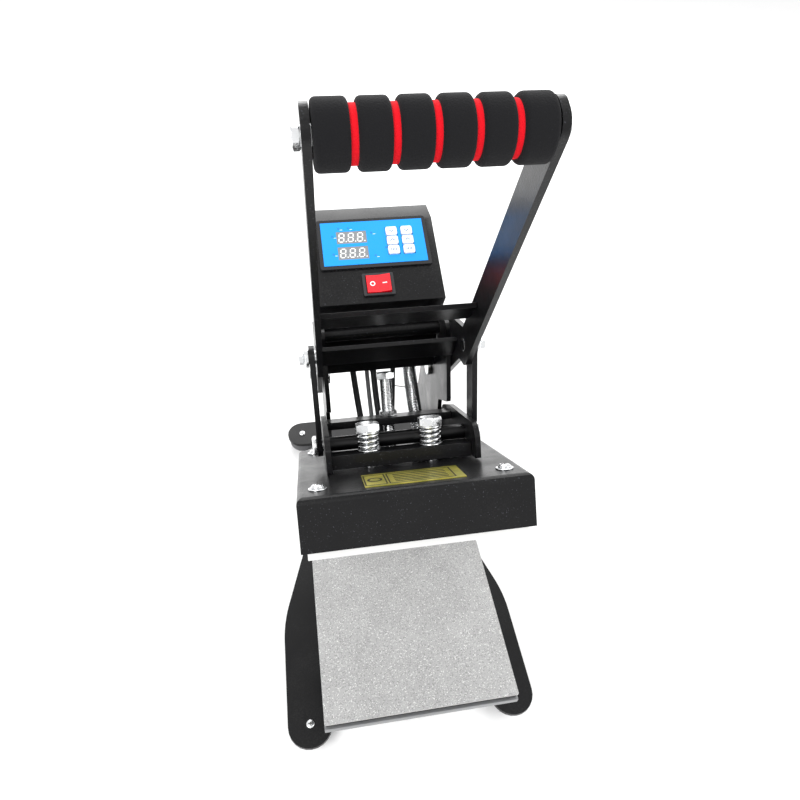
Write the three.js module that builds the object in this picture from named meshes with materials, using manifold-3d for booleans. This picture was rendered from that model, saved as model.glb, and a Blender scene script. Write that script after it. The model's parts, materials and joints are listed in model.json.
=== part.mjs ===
// Small clamshell heat press with a toggle handle, a tilted control box and a bell-shaped base.
// Units are millimetres. +X is to the right, +Y to the rear and +Z up. The press stands open on Z = 0.

import * as THREE from "three";
import { mergeVertices } from "three/addons/utils/BufferGeometryUtils.js";
import Module from "manifold-3d";

const wasm = await Module();
wasm.setup();

// ---------------------------------------------------------------- driving dimensions

const GAP = 0.3; // air left between pieces that touch
const OPEN_ANGLE = THREE.MathUtils.degToRad(39.1); // how far the platen arm stands open

const FOOT_HEIGHT = 13;
const FOOT_RADIUS = 15;
const BASE_THICKNESS = 4;
const BASE_TOP = FOOT_HEIGHT + BASE_THICKNESS;
const FRONT_FOOT = { x: 88.9, y: -158.8, r: 19 };
const REAR_FOOT = { x: 77.7, y: 169.4, r: 17 };

const PAD = { size: 150, front: -185, top: 93, thickness: 2.2 };
const BACKING_THICKNESS = 4.5;
const BED_THICKNESS = 5.7;

const UPRIGHT_INNER = 47.5;
const UPRIGHT_THICKNESS = 3.5;
const SIDE_INNER = 52; // inner face of the bracket plates and lever plates
const SIDE_THICKNESS = 4;
const LINK_INNER = 57;
const LINK_THICKNESS = 4;
const LINK_EYE = 8.3; // radius of the links' rounded ends

const PLATEN_PIVOT = { y: 44, z: 89.5 };
const LEVER_PIVOT = { y: 73.5, z: 204.4 };
const ELBOW = { y: 0, z: 292 };
const LINK_FOOT = { u: 86, v: 52 }; // lower eye of the links, in the platen arm's own axes
const SPACER = { y: 56, z: 264, r: 6 }; // rolled front edge of the web between the uprights
const WEB_LOW = 218;

const HOUSING = { size: 155, height: 35.9, wall: 1.6, bend: 4 };
const PLATEN = { size: 147, thickness: 11, drop: 6 };
const HOUSING_FRONT = -187.5; // front of the closed housing
const HOUSING_BOTTOM = 99.3; // underside of the closed housing
const PRESS_BOLT = { u: 134, r: 5 };
const SPRING_BOLT = { x: 23.5, u: 72, r: 5 };
const BOLT_CLEARANCE = 0.35; // between a bolt's shank and its hole

const GRIP = { y: -78.5, z: 485, radius: 15, length: 103 };
const BOX_WIDTH = 102;
const BOX_LIP = { y: 55, z: 294 }; // lower front edge of the control box
const BOX_CREST = { y: 127, z: 324 }; // upper front edge of the control box
const BOX_BACK = { y: 158, floor: 262 };

// ---------------------------------------------------------------- materials

const finish = (color, roughness, metalness) =>
  new THREE.MeshStandardMaterial({ color, roughness, metalness });
const powderBlack = finish(0x151518, 0.45, 0.3);
const satinBlack = finish(0x1b1b1d, 0.55, 0.2);
const zinc = finish(0xc9ccd0, 0.25, 1.0);
const aluminium = finish(0xb9bbbd, 0.4, 1.0);
const padGrey = finish(0xbcbcba, 0.9, 0.0);
const rubber = finish(0x3c3c3e, 0.85, 0.0);
const foamBlack = finish(0x0e0e10, 0.95, 0.0);
const panelBlue = finish(0x0a96f0, 0.35, 0.0);
const buttonWhite = finish(0xf2f4f6, 0.4, 0.0);
const switchRed = finish(0xe00a28, 0.3, 0.0);
const plasticBlack = finish(0x18181a, 0.5, 0.0);
const boardGreen = finish(0x1d6b3c, 0.6, 0.0);
const insulation = finish(0xe6dfca, 0.95, 0.0);
const labelGold = finish(0xc8a82c, 0.35, 0.4);
const cableBlack = finish(0x101012, 0.6, 0.0);
const cableGrey = finish(0x7c7e80, 0.6, 0.0);

// ---------------------------------------------------------------- shape helpers

// Points of a closed outline whose corners [a, b, radius] are rounded by true arcs.
function roundedOutline(corners, arcSteps = 6) {
  const points = [];
  corners.forEach(([a, b, radius = 0], i) => {
    const here = new THREE.Vector2(a, b);
    if (radius === 0) {
      points.push(here);
      return;
    }
    const [pa, pb] = corners[(i + corners.length - 1) % corners.length];
    const [na, nb] = corners[(i + 1) % corners.length];
    const toPrevious = new THREE.Vector2(pa, pb).sub(here).normalize();
    const toNext = new THREE.Vector2(na, nb).sub(here).normalize();
    const half = Math.acos(THREE.MathUtils.clamp(toPrevious.dot(toNext), -1, 1)) / 2;
    const bisector = toPrevious.clone().add(toNext).normalize();
    const centre = here.clone().addScaledVector(bisector, radius / Math.sin(half));
    const start = here.clone().addScaledVector(toPrevious, radius / Math.tan(half)).sub(centre);
    const end = here.clone().addScaledVector(toNext, radius / Math.tan(half)).sub(centre);
    const sweep = Math.atan2(start.cross(end), start.dot(end));
    for (let k = 0; k <= arcSteps; k += 1) {
      const arm = start.clone().rotateAround(new THREE.Vector2(), (sweep * k) / arcSteps);
      points.push(centre.clone().add(arm));
    }
  });
  return points;
}

// Closed belt around circles { a, b, r } listed counter-clockwise.
function beltOutline(circles, arcSteps = 8) {
  const points = [];
  const heading = circles.map((from, i) => {
    const to = circles[(i + 1) % circles.length];
    const distance = Math.hypot(to.a - from.a, to.b - from.b);
    const along = Math.atan2(to.b - from.b, to.a - from.a);
    const taper = Math.asin((from.r - to.r) / distance);
    return along + taper - Math.PI / 2;
  });
  circles.forEach((circle, i) => {
    const first = heading[(i + circles.length - 1) % circles.length];
    let last = heading[i];
    while (last < first) last += 2 * Math.PI;
    for (let k = 0; k <= arcSteps; k += 1) {
      const angle = first + ((last - first) * k) / arcSteps;
      const arm = new THREE.Vector2(circle.r, 0).rotateAround(new THREE.Vector2(), angle);
      points.push(arm.add(new THREE.Vector2(circle.a, circle.b)));
    }
  });
  return points;
}

// Rectangle between two opposite corners, with every corner rounded alike.
function rectangle([a0, b0], [a1, b1], radius = 0, arcSteps = 6) {
  const corners = [[a0, b0], [a1, b0], [a1, b1], [a0, b1]];
  return roundedOutline(corners.map(([a, b]) => [a, b, radius]), arcSteps);
}

// Corners of a regular polygon about the origin, the first one on +A.
const polygon = (radius, sides) =>
  Array.from({ length: sides }, (_, i) => {
    const angle = (2 * Math.PI * i) / sides;
    return new THREE.Vector2(radius * Math.cos(angle), radius * Math.sin(angle));
  });

const HOLE_SIDES = 20;

// Flat outline with round holes [a, b, radius] through it.
function outlineShape(points, holes = []) {
  const shape = new THREE.Shape(points);
  shape.holes = holes.map(([a, b, radius]) => {
    const rim = polygon(radius, HOLE_SIDES).map((corner) => corner.add(new THREE.Vector2(a, b)));
    return new THREE.Path(rim.reverse());
  });
  return shape;
}

const flatExtrude = (shape, depth) => new THREE.ExtrudeGeometry(shape, { depth, bevelEnabled: false });

// Side plate: the outline is drawn in Y and Z, and the plate runs from x to x + thickness.
function sidePlate(points, holes, x, thickness) {
  const geometry = flatExtrude(outlineShape(points, holes), thickness);
  const axes = new THREE.Matrix4().makeBasis(
    new THREE.Vector3(0, 1, 0),
    new THREE.Vector3(0, 0, 1),
    new THREE.Vector3(1, 0, 0),
  );
  return geometry.applyMatrix4(axes).translate(x, 0, 0);
}

// Level plate: the outline is drawn in X and Y, and the plate runs from z to z + thickness.
const levelPlate = (points, holes, z, thickness) =>
  flatExtrude(outlineShape(points, holes), thickness).translate(0, 0, z);

function blockFrom(low, high) {
  const size = high.map((value, i) => value - low[i]);
  const middle = high.map((value, i) => (value + low[i]) / 2);
  return new THREE.BoxGeometry(...size).translate(...middle);
}

// Turned piece along Z from a profile of [radius, z] points.
const turned = (profile, sides = 24) =>
  new THREE.LatheGeometry(profile.map(([r, z]) => new THREE.Vector2(r, z)), sides).rotateX(Math.PI / 2);

// The same, laid along X.
const turnedAlongX = (profile, sides = 24) => turned(profile, sides).rotateY(Math.PI / 2);

// ---------------------------------------------------------------- booleans

function toSolid(geometry) {
  const bare = geometry.clone();
  bare.deleteAttribute("normal");
  bare.deleteAttribute("uv");
  const merged = mergeVertices(bare, 1e-4);
  const triVerts = new Uint32Array(merged.index.array);
  const vertProperties = new Float32Array(merged.attributes.position.array);
  return new wasm.Manifold(new wasm.Mesh({ numProp: 3, vertProperties, triVerts }));
}

function toGeometry(solid) {
  const mesh = solid.getMesh();
  const geometry = new THREE.BufferGeometry();
  geometry.setAttribute("position", new THREE.BufferAttribute(new Float32Array(mesh.vertProperties), 3));
  geometry.setIndex(new THREE.BufferAttribute(new Uint32Array(mesh.triVerts), 1));
  return geometry;
}

function cut(body, ...tools) {
  return toGeometry(tools.reduce((solid, tool) => solid.subtract(toSolid(tool)), toSolid(body)));
}

function join(first, ...others) {
  return toGeometry(others.reduce((solid, next) => solid.add(toSolid(next)), toSolid(first)));
}

// ---------------------------------------------------------------- scene graph

const press = new THREE.Group();

function add(group, name, geometry, material) {
  const mesh = new THREE.Mesh(geometry, material);
  mesh.name = name;
  group.add(mesh);
  return mesh;
}

const SIDES = [
  ["left", -1],
  ["right", 1],
];

// Near X face of a plate that lies from inner to inner + thickness on one side.
const plateStart = (sign, inner, thickness) => (sign > 0 ? inner : -inner - thickness);

// ---------------------------------------------------------------- base and bed

function buildBase() {
  const toe = FRONT_FOOT.y - FRONT_FOOT.r;
  const half = [
    [70, -122, 30],
    [FRONT_FOOT.x - FRONT_FOOT.r, toe, FRONT_FOOT.r - 0.1],
    [FRONT_FOOT.x + FRONT_FOOT.r, toe, FRONT_FOOT.r - 0.1],
    [FRONT_FOOT.x + FRONT_FOOT.r, -66, 120],
    [58, 95, 40],
    [58, REAR_FOOT.y - REAR_FOOT.r, 8],
    [REAR_FOOT.x + REAR_FOOT.r, REAR_FOOT.y - REAR_FOOT.r, REAR_FOOT.r - 0.1],
    [REAR_FOOT.x + REAR_FOOT.r, REAR_FOOT.y + REAR_FOOT.r, REAR_FOOT.r - 0.1],
  ];
  const mirrored = half.map(([x, y, r]) => [-x, y, r]).reverse();
  const outline = roundedOutline([...half, ...mirrored]);
  add(press, "base_plate", levelPlate(outline, [], FOOT_HEIGHT, BASE_THICKNESS), satinBlack);

  const footTop = FOOT_HEIGHT - GAP;
  const foot = [[0, 0], [FOOT_RADIUS - 1.5, 0], [FOOT_RADIUS, 3], [FOOT_RADIUS, footTop], [0, footTop]];
  [["front", FRONT_FOOT], ["rear", REAR_FOOT]].forEach(([end, place]) => {
    SIDES.forEach(([side, sign]) => {
      add(press, `foot_${end}_${side}`, turned(foot), rubber).position.set(sign * place.x, place.y, 0);
    });
  });
}

function buildBed() {
  const padTop = PAD.top;
  const backingTop = padTop - PAD.thickness - GAP;
  const plateTop = backingTop - BACKING_THICKNESS - GAP;
  const plateBottom = plateTop - BED_THICKNESS;
  const half = PAD.size / 2;
  const rear = PAD.front + PAD.size;
  const padOutline = rectangle([-half, PAD.front], [half, rear], 1.2, 3);
  add(press, "silicone_pad", levelPlate(padOutline, [], padTop - PAD.thickness, PAD.thickness), padGrey);
  const inset = 1;
  const backing = blockFrom(
    [-half + inset, PAD.front + inset, backingTop - BACKING_THICKNESS],
    [half - inset, rear - inset, backingTop],
  );
  add(press, "pad_backing", backing, foamBlack);
  const lip = 1.4; // how far the bed plate shows in front of the pad
  const bed = blockFrom([-half - GAP, PAD.front - lip, plateBottom], [half + GAP, rear + GAP, plateTop]);
  add(press, "bed_plate", bed, aluminium);

  const wall = 3;
  const web = 42;
  const flange = 16;
  const low = BASE_TOP + GAP;
  const high = plateBottom - GAP;
  const hat = roundedOutline([
    [-web - flange, low], [-web, low], [-web, high - wall], [web, high - wall], [web, low],
    [web + flange, low], [web + flange, low + wall], [web + wall, low + wall], [web + wall, high],
    [-web - wall, high], [-web - wall, low + wall], [-web - flange, low + wall],
  ]);
  const pedestalRear = -44;
  const pedestalDepth = 72;
  const pedestal = flatExtrude(outlineShape(hat), pedestalDepth)
    .rotateX(Math.PI / 2)
    .translate(0, pedestalRear, 0);
  add(press, "bed_pedestal", pedestal, satinBlack);
}

// ---------------------------------------------------------------- uprights and fixed shafts

const SHAFT_RADIUS = 6;
const SHAFT_HOLE = SHAFT_RADIUS + 0.35;

function buildUprights() {
  const low = BASE_TOP + GAP;
  const shoulder = BOX_BACK.floor - GAP;
  const profile = roundedOutline([
    [20, low], [118, low], [118, 120, 40], [104, 200, 40], [112, shoulder, 6], [69, shoulder],
    [60, 276, 4], [50, 283, 6], [34, 283, 6], [25, 264], [7, 224, 4], [33, 201, 5], [31, 180], [26, 110],
  ]);
  const holes = [
    [PLATEN_PIVOT.y, PLATEN_PIVOT.z, SHAFT_HOLE],
    [LEVER_PIVOT.y, LEVER_PIVOT.z, SHAFT_HOLE],
  ];
  SIDES.forEach(([side, sign]) => {
    const x = plateStart(sign, UPRIGHT_INNER, UPRIGHT_THICKNESS);
    const wall = sidePlate(profile, holes, x, UPRIGHT_THICKNESS);
    const edges = [sign * (UPRIGHT_INNER - 22), sign * (UPRIGHT_INNER + 1)].sort((a, b) => a - b);
    const flange = blockFrom([edges[0], 24, low], [edges[1], 114, low + UPRIGHT_THICKNESS]);
    add(press, `upright_${side}`, join(wall, flange), powderBlack);
  });

  const reach = UPRIGHT_INNER - GAP;
  const rod = turnedAlongX([[0, -reach], [SPACER.r, -reach], [SPACER.r, reach], [0, reach]]);
  const web = blockFrom([-reach, SPACER.y + 2.5, WEB_LOW], [reach, SPACER.y + 5.5, SPACER.z]);
  add(press, "upright_web", join(rod.translate(0, SPACER.y, SPACER.z), web), powderBlack);
}

const HEAD_START = SIDE_INNER + SIDE_THICKNESS + GAP;
const HEAD_END = HEAD_START + 5;
const HEAD_RADIUS = 10;

// The platen arm turns on one shaft with a round head at each end, outside the side plates.
function buildPlatenShaft() {
  const profile = [
    [0, -HEAD_END], [HEAD_RADIUS, -HEAD_END], [HEAD_RADIUS, -HEAD_START], [SHAFT_RADIUS, -HEAD_START],
    [SHAFT_RADIUS, HEAD_START], [HEAD_RADIUS, HEAD_START], [HEAD_RADIUS, HEAD_END], [0, HEAD_END],
  ];
  const shaft = add(press, "platen_pivot_shaft", turnedAlongX(profile), zinc);
  shaft.position.set(0, PLATEN_PIVOT.y, PLATEN_PIVOT.z);
}

// Each lever turns on a short pin of its own, with a collar inside the upright.
function buildLeverPins() {
  const collarEnd = UPRIGHT_INNER - GAP;
  const collarRadius = 9;
  const profile = [
    [0, collarEnd - 3], [collarRadius, collarEnd - 3], [collarRadius, collarEnd], [SHAFT_RADIUS, collarEnd],
    [SHAFT_RADIUS, HEAD_START], [HEAD_RADIUS, HEAD_START], [HEAD_RADIUS, HEAD_END], [0, HEAD_END],
  ];
  SIDES.forEach(([side, sign]) => {
    const pin = add(press, `lever_pin_${side}`, turnedAlongX(profile), zinc);
    pin.position.set(0, LEVER_PIVOT.y, LEVER_PIVOT.z);
    if (sign < 0) pin.rotation.z = Math.PI;
  });
}

// ---------------------------------------------------------------- control box

const slope = new THREE.Vector2(BOX_CREST.y - BOX_LIP.y, BOX_CREST.z - BOX_LIP.z);
const faceAngle = slope.angle();
const face = new THREE.Group(); // X across the panel, Y up its slope, Z out of it
face.position.set(0, BOX_LIP.y, BOX_LIP.z);
face.rotation.x = faceAngle;

const PANEL = { x: -0.4, s: 55, width: 84, height: 41, thickness: 1.6 };
const BEZEL = 3;
const SWITCH = { x: -1.3, s: 15.6, width: 25, height: 20, thickness: 1.8 };
const ROCKER = { width: 19, height: 15.4 };
const BUTTON = { width: 9.2, height: 7.8, travel: 1.2 };
const BUTTON_COLUMNS = [15, 27.5];
const BUTTON_ROWS = [64.1, 55, 46];

function boxProfile(inset) {
  const back = BOX_BACK.y - inset;
  const floor = BOX_BACK.floor + 2.4;
  const drop = inset / Math.cos(faceAngle);
  return roundedOutline([
    [BOX_LIP.y + 1.4 * inset, BOX_LIP.z - 1.2 * inset], [70 + inset, floor], [back, floor],
    [back, 312 - inset], [149, 323 - inset], [BOX_CREST.y - 0.3 * inset, BOX_CREST.z - drop],
  ], 4);
}

function buildControlBox() {
  const wall = 1.8;
  const half = BOX_WIDTH / 2;
  const outer = sidePlate(boxProfile(0), [], -half, BOX_WIDTH);
  const core = sidePlate(boxProfile(wall), [], -half + wall, BOX_WIDTH - 2 * wall);
  const openFloor = blockFrom(
    [-half + wall, 73, BOX_BACK.floor],
    [half - wall, BOX_BACK.y - wall, BOX_BACK.floor + 12],
  );
  const inlet = blockFrom([-14.3, BOX_BACK.y - 5, 273.7], [14.3, BOX_BACK.y + 5, 294.3]);
  const onFace = (geometry) => geometry.rotateX(faceAngle).translate(0, BOX_LIP.y, BOX_LIP.z);
  const window = onFace(blockFrom([PANEL.x - 38, PANEL.s - 17, -6], [PANEL.x + 38, PANEL.s + 17, 6]));
  const switchHole = onFace(
    blockFrom([SWITCH.x - 10.5, SWITCH.s - 8.7, -6], [SWITCH.x + 10.5, SWITCH.s + 8.7, 6]),
  );
  add(press, "control_box_cover", cut(outer, core, openFloor, inlet, window, switchHole), powderBlack);

  const inner = half - wall - 0.5;
  const floor = rectangle([-inner, 74], [inner, BOX_BACK.y - wall - 0.5], 3);
  add(press, "control_box_floor", levelPlate(floor, [], BOX_BACK.floor, 2), powderBlack);

  const socket = blockFrom([-14, BOX_BACK.y - 22, 274], [14, BOX_BACK.y + 2.5, 294]);
  const recess = blockFrom([-11, BOX_BACK.y - 14, 277], [11, BOX_BACK.y + 4, 291]);
  add(press, "power_inlet", cut(socket, recess), plasticBlack);

  press.add(face);
  buildPanel();
  buildSwitch();
}

// Rectangle about the origin of the panel's own axes.
const centred = (width, height, radius, arcSteps) =>
  rectangle([-width / 2, -height / 2], [width / 2, height / 2], radius, arcSteps);

function buildPanel() {
  const bezel = centred(PANEL.width + 2 * BEZEL, PANEL.height + 2 * BEZEL, 2);
  const slots = [];
  BUTTON_COLUMNS.forEach((x) => {
    BUTTON_ROWS.forEach((s) => {
      const w = BUTTON.width / 2 + GAP;
      const h = BUTTON.height / 2 + GAP;
      slots.push(blockFrom([x - PANEL.x - w, s - PANEL.s - h, -5], [x - PANEL.x + w, s - PANEL.s + h, 5]));
    });
  });
  const plate = cut(levelPlate(bezel, [], 0, PANEL.thickness), ...slots);
  const panel = add(face, "display_panel", plate, panelBlue);
  panel.position.set(PANEL.x, PANEL.s, GAP);

  const rows = ["top", "middle", "bottom"];
  ["time", "heat"].forEach((column, i) => {
    rows.forEach((row, j) => {
      const cap = centred(BUTTON.width, BUTTON.height, 1.5, 3);
      const button = add(face, `button_${column}_${row}`, levelPlate(cap, [], 0, 2.6), buttonWhite);
      button.position.set(BUTTON_COLUMNS[i], BUTTON_ROWS[j], 0.9);
    });
  });

  const board = blockFrom([-40, -17, -11], [40, 17, -9.4]);
  add(face, "controller_board", board, boardGreen).position.set(PANEL.x, PANEL.s, 0);
}

function buildSwitch() {
  const frame = centred(SWITCH.width, SWITCH.height, 1, 3);
  const halfHole = [ROCKER.width / 2 + GAP + 0.2, ROCKER.height / 2 + GAP + 0.2];
  const halfWell = halfHole.map((value) => value + 0.45);
  const hole = blockFrom([-halfHole[0], -halfHole[1], -9], [...halfHole, 5]);
  const well = blockFrom([-halfWell[0], -halfWell[1], -10], [...halfWell, 0.2]);
  const body = join(levelPlate(frame, [], 0, SWITCH.thickness), well);
  add(face, "switch_frame", cut(body, hole), plasticBlack).position.set(SWITCH.x, SWITCH.s, GAP);

  const halfWidth = ROCKER.width / 2;
  const tilt = 1.5; // how much one end of the rocker stands above the other
  const profile = roundedOutline([
    [-halfWidth, -2.4], [halfWidth, -2.4], [halfWidth, 2.6 + tilt], [0, 2.2], [-halfWidth, 2.6],
  ]);
  const rocker = flatExtrude(outlineShape(profile), ROCKER.height)
    .rotateX(Math.PI / 2)
    .translate(0, ROCKER.height / 2, 0);
  add(face, "power_rocker", rocker, switchRed).position.set(SWITCH.x, SWITCH.s, 0.4);
}

// ---------------------------------------------------------------- platen arm

// Drawn level, as when the press is shut.
// U runs rearward from the housing's front and V up from its underside.
const platenArm = new THREE.Group();
platenArm.position.set(0, PLATEN_PIVOT.y, PLATEN_PIVOT.z);
platenArm.rotation.x = -OPEN_ANGLE;
const shut = new THREE.Group();
shut.position.set(0, HOUSING_FRONT - PLATEN_PIVOT.y, HOUSING_BOTTOM - PLATEN_PIVOT.z);
const PIVOT_U = PLATEN_PIVOT.y - HOUSING_FRONT;
const PIVOT_V = PLATEN_PIVOT.z - HOUSING_BOTTOM;

const springBoltHoles = SIDES.map(([, sign]) => [
  sign * SPRING_BOLT.x, SPRING_BOLT.u, SPRING_BOLT.r + BOLT_CLEARANCE,
]);

function buildBracket() {
  const low = HOUSING.height + 1.4;
  const outline = roundedOutline([
    [51, low, 1], [159, low, 6], [PIVOT_U - 18, PIVOT_V + 4, 6], [PIVOT_U - 11, PIVOT_V - 13, 8],
    [PIVOT_U + 13, PIVOT_V - 13, 12], [PIVOT_U + 13, PIVOT_V + 11, 12], [158, 64, 14], [130, 67, 8],
    [56, 63, 9], [50, 54, 4],
  ]);
  const holes = [
    [PIVOT_U, PIVOT_V, SHAFT_HOLE],
    [LINK_FOOT.u, LINK_FOOT.v, 5.85],
  ];
  SIDES.forEach(([side, sign]) => {
    const plate = sidePlate(outline, holes, plateStart(sign, SIDE_INNER, SIDE_THICKNESS), SIDE_THICKNESS);
    add(shut, `bracket_plate_${side}`, plate, powderBlack);
  });

  const reach = SIDE_INNER - GAP;
  const frontBar = levelPlate(rectangle([-reach, 62], [reach, 79]), springBoltHoles, low, 10);
  add(shut, "bracket_front_bar", frontBar, powderBlack);
  const pressHole = [0, PRESS_BOLT.u, PRESS_BOLT.r + BOLT_CLEARANCE];
  const rearBar = levelPlate(rectangle([-reach, 124], [reach, 145]), [pressHole], 56, 6);
  add(shut, "bracket_rear_bar", rearBar, powderBlack);

  const rodHalf = SIDE_INNER + SIDE_THICKNESS;
  const rod = [[0, -rodHalf], [5.5, -rodHalf], [5.5, rodHalf], [0, rodHalf]];
  add(shut, "link_rod", turnedAlongX(rod), satinBlack).position.set(0, LINK_FOOT.u, LINK_FOOT.v);
}

function buildHousing() {
  const half = HOUSING.size / 2;
  const corner = HOUSING.bend;
  const section = roundedOutline([
    [-half, 0], [half, 0], [half, HOUSING.height, corner], [-half, HOUSING.height, corner],
  ], 4);
  const across = flatExtrude(outlineShape(section), HOUSING.size)
    .rotateX(Math.PI / 2)
    .translate(0, HOUSING.size, 0);
  const sideSection = roundedOutline([
    [0, -1], [HOUSING.size, -1], [HOUSING.size, HOUSING.height, corner], [0, HOUSING.height, corner],
  ], 4);
  const along = sidePlate(sideSection, [], -half - 1, HOUSING.size + 2);
  const shell = toSolid(across).intersect(toSolid(along));
  const wall = HOUSING.wall;
  const cavity = blockFrom(
    [-half + wall, wall, -1],
    [half - wall, HOUSING.size - wall, HOUSING.height - wall],
  );
  const boltHoles = springBoltHoles.map(([x, u, radius]) =>
    turned([[0, 0], [radius, 0], [radius, 60], [0, 60]], HOLE_SIDES).translate(x, u, 0),
  );
  add(shut, "heater_housing", cut(toGeometry(shell), cavity, ...boltHoles), powderBlack);

  const platenHalf = PLATEN.size / 2;
  const middle = HOUSING.size / 2;
  const platenTop = PLATEN.thickness - PLATEN.drop;
  const near = middle - platenHalf;
  const far = middle + platenHalf;
  const platen = blockFrom([-platenHalf, near, -PLATEN.drop], [platenHalf, far, platenTop]);
  add(shut, "heated_platen", platen, aluminium);

  const elementLow = platenTop + GAP;
  const elementHigh = elementLow + 6;
  const loop = roundedOutline([
    [-60, 18, 20], [60, 18, 20], [60, 137, 20], [-60, 137, 20], [-60, 84], [-48, 84],
    [-48, 125, 12], [48, 125, 12], [48, 30, 12], [-48, 30, 12], [-48, 72], [-60, 72],
  ]);
  add(shut, "heating_element", levelPlate(loop, [], elementLow, elementHigh - elementLow), zinc);

  const boardLow = elementHigh + GAP;
  const board = levelPlate(
    rectangle([-platenHalf, near], [platenHalf, far]),
    springBoltHoles,
    boardLow,
    HOUSING.height - wall - GAP - boardLow,
  );
  add(shut, "insulation_board", board, insulation);

  const label = blockFrom([-33, 10, HOUSING.height + 0.05], [34.5, 42, HOUSING.height + 0.45]);
  add(shut, "rating_label", label, labelGold);
}

// Hexagon-headed bolt standing on V = 0, with its head at the top.
function hexBolt(shank, length, headRadius, headHeight) {
  const stem = turned([[0, 0], [shank, 0], [shank, length], [0, length]], HOLE_SIDES);
  const head = levelPlate(polygon(headRadius, 6), [], length - headHeight, headHeight);
  return join(stem, head);
}

class Helix extends THREE.Curve {
  constructor(radius, pitch, turns) {
    super();
    Object.assign(this, { radius, pitch, turns });
  }
  getPoint(t, target = new THREE.Vector3()) {
    const angle = 2 * Math.PI * this.turns * t;
    const height = this.pitch * this.turns * t;
    return target.set(this.radius * Math.cos(angle), this.radius * Math.sin(angle), height);
  }
}

function buildBolts() {
  const seat = HOUSING.height + 1.4 + 10; // top of the front bar
  const boltLow = 12;
  const boltHigh = 68;
  const headHeight = 6.6;
  const wire = 1.3;
  const turns = 3.25;
  const room = boltHigh - headHeight - seat - 2 * GAP;
  SIDES.forEach(([side, sign]) => {
    const x = sign * SPRING_BOLT.x;
    const bolt = hexBolt(SPRING_BOLT.r, boltHigh - boltLow, 9.6, headHeight);
    add(shut, `spring_bolt_${side}`, bolt, zinc).position.set(x, SPRING_BOLT.u, boltLow);
    const helix = new Helix(SPRING_BOLT.r + 1.8, (room - 2 * wire) / turns, turns);
    const section = outlineShape(polygon(wire, 8));
    const coil = new THREE.ExtrudeGeometry(section, { steps: 54, bevelEnabled: false, extrudePath: helix });
    add(shut, `pressure_spring_${side}`, coil, zinc).position.set(x, SPRING_BOLT.u, seat + GAP + wire);
  });

  const foot = HOUSING.height + GAP;
  const longBolt = hexBolt(PRESS_BOLT.r, 99 - foot, 8, 5.6);
  add(shut, "pressure_bolt", longBolt, zinc).position.set(0, PRESS_BOLT.u, foot);
}

// ---------------------------------------------------------------- handle and links

const armDirection = new THREE.Vector2(GRIP.y - ELBOW.y, GRIP.z - ELBOW.z).normalize();

function buildHandle() {
  const armNormal = new THREE.Vector2(armDirection.y, -armDirection.x); // towards the rear
  const halfWidth = 11;
  const reach = 13;
  const tip = new THREE.Vector2(GRIP.y, GRIP.z).addScaledVector(armDirection, reach);
  const along = (point, side) => point.clone().addScaledVector(armNormal, side * halfWidth);
  const tipFront = along(tip, -1);
  const tipRear = along(tip, 1);
  const elbow = new THREE.Vector2(ELBOW.y, ELBOW.z);
  const heelFront = along(elbow, -1);
  const crotch = new THREE.Vector2(6, 304);
  const outline = roundedOutline([
    [tipFront.x, tipFront.y, 9], [heelFront.x - 0.5, heelFront.y - 8, 9], [4, 275, 9],
    [LEVER_PIVOT.y - 11, LEVER_PIVOT.z - 14, 12], [LEVER_PIVOT.y + 15, LEVER_PIVOT.z - 14, 13],
    [LEVER_PIVOT.y + 15, LEVER_PIVOT.z + 10, 13], [57, 279, 12], [crotch.x, crotch.y, 3],
    [tipRear.x, tipRear.y, 9],
  ]);
  const holes = [
    [LEVER_PIVOT.y, LEVER_PIVOT.z, SHAFT_HOLE],
    [ELBOW.y, ELBOW.z, 5.35],
    [GRIP.y, GRIP.z, 5.35],
  ];
  SIDES.forEach(([side, sign]) => {
    const plate = sidePlate(outline, holes, plateStart(sign, SIDE_INNER, SIDE_THICKNESS), SIDE_THICKNESS);
    add(press, `lever_${side}`, plate, powderBlack);
  });

  crossPlate("upper_cross_plate", [-19, 343.3], [-3.7, 321.9]);
  crossPlate("lower_cross_plate", [14.5, 285.5], [22, 264]);

  const tubeHalf = SIDE_INNER + SIDE_THICKNESS + 4;
  const tube = [[0, -tubeHalf], [5, -tubeHalf], [5, tubeHalf], [0, tubeHalf]];
  add(press, "grip_tube", turnedAlongX(tube, 16), zinc).position.set(0, GRIP.y, GRIP.z);
  add(press, "foam_grip", foamGrip(), foamBlack).position.set(0, GRIP.y, GRIP.z);
}

// Flat bar between the levers; upper and lower are the [y, z] ends of its mid-plane.
function crossPlate(name, upper, lower) {
  const from = new THREE.Vector2(...upper);
  const to = new THREE.Vector2(...lower);
  const direction = to.clone().sub(from);
  const thickness = 3.5;
  const reach = SIDE_INNER - GAP;
  const plate = blockFrom([-reach, 0, -thickness / 2], [reach, direction.length(), thickness / 2]);
  const mesh = add(press, name, plate, powderBlack);
  mesh.position.set(0, from.x, from.y);
  mesh.rotation.x = direction.angle();
}

// Six foam rings with narrower grooves between them, hollow for the tube.
function foamGrip() {
  const bore = 5.3;
  const groove = GRIP.radius - 2.6;
  const rings = 6;
  const grooveWidth = 3.4;
  const half = GRIP.length / 2;
  const ringWidth = (GRIP.length - grooveWidth * (rings - 1)) / rings;
  const round = 2;
  const profile = [[bore, -half]];
  for (let i = 0; i < rings; i += 1) {
    const start = -half + i * (ringWidth + grooveWidth);
    const end = start + ringWidth;
    profile.push([GRIP.radius - round, start], [GRIP.radius, start + round]);
    profile.push([GRIP.radius, end - round], [GRIP.radius - round, end]);
    if (i < rings - 1) profile.push([groove, end + 0.2], [groove, end + grooveWidth - 0.2]);
  }
  profile.push([bore, half], [bore, -half]);
  return turnedAlongX(profile, 28);
}

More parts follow.
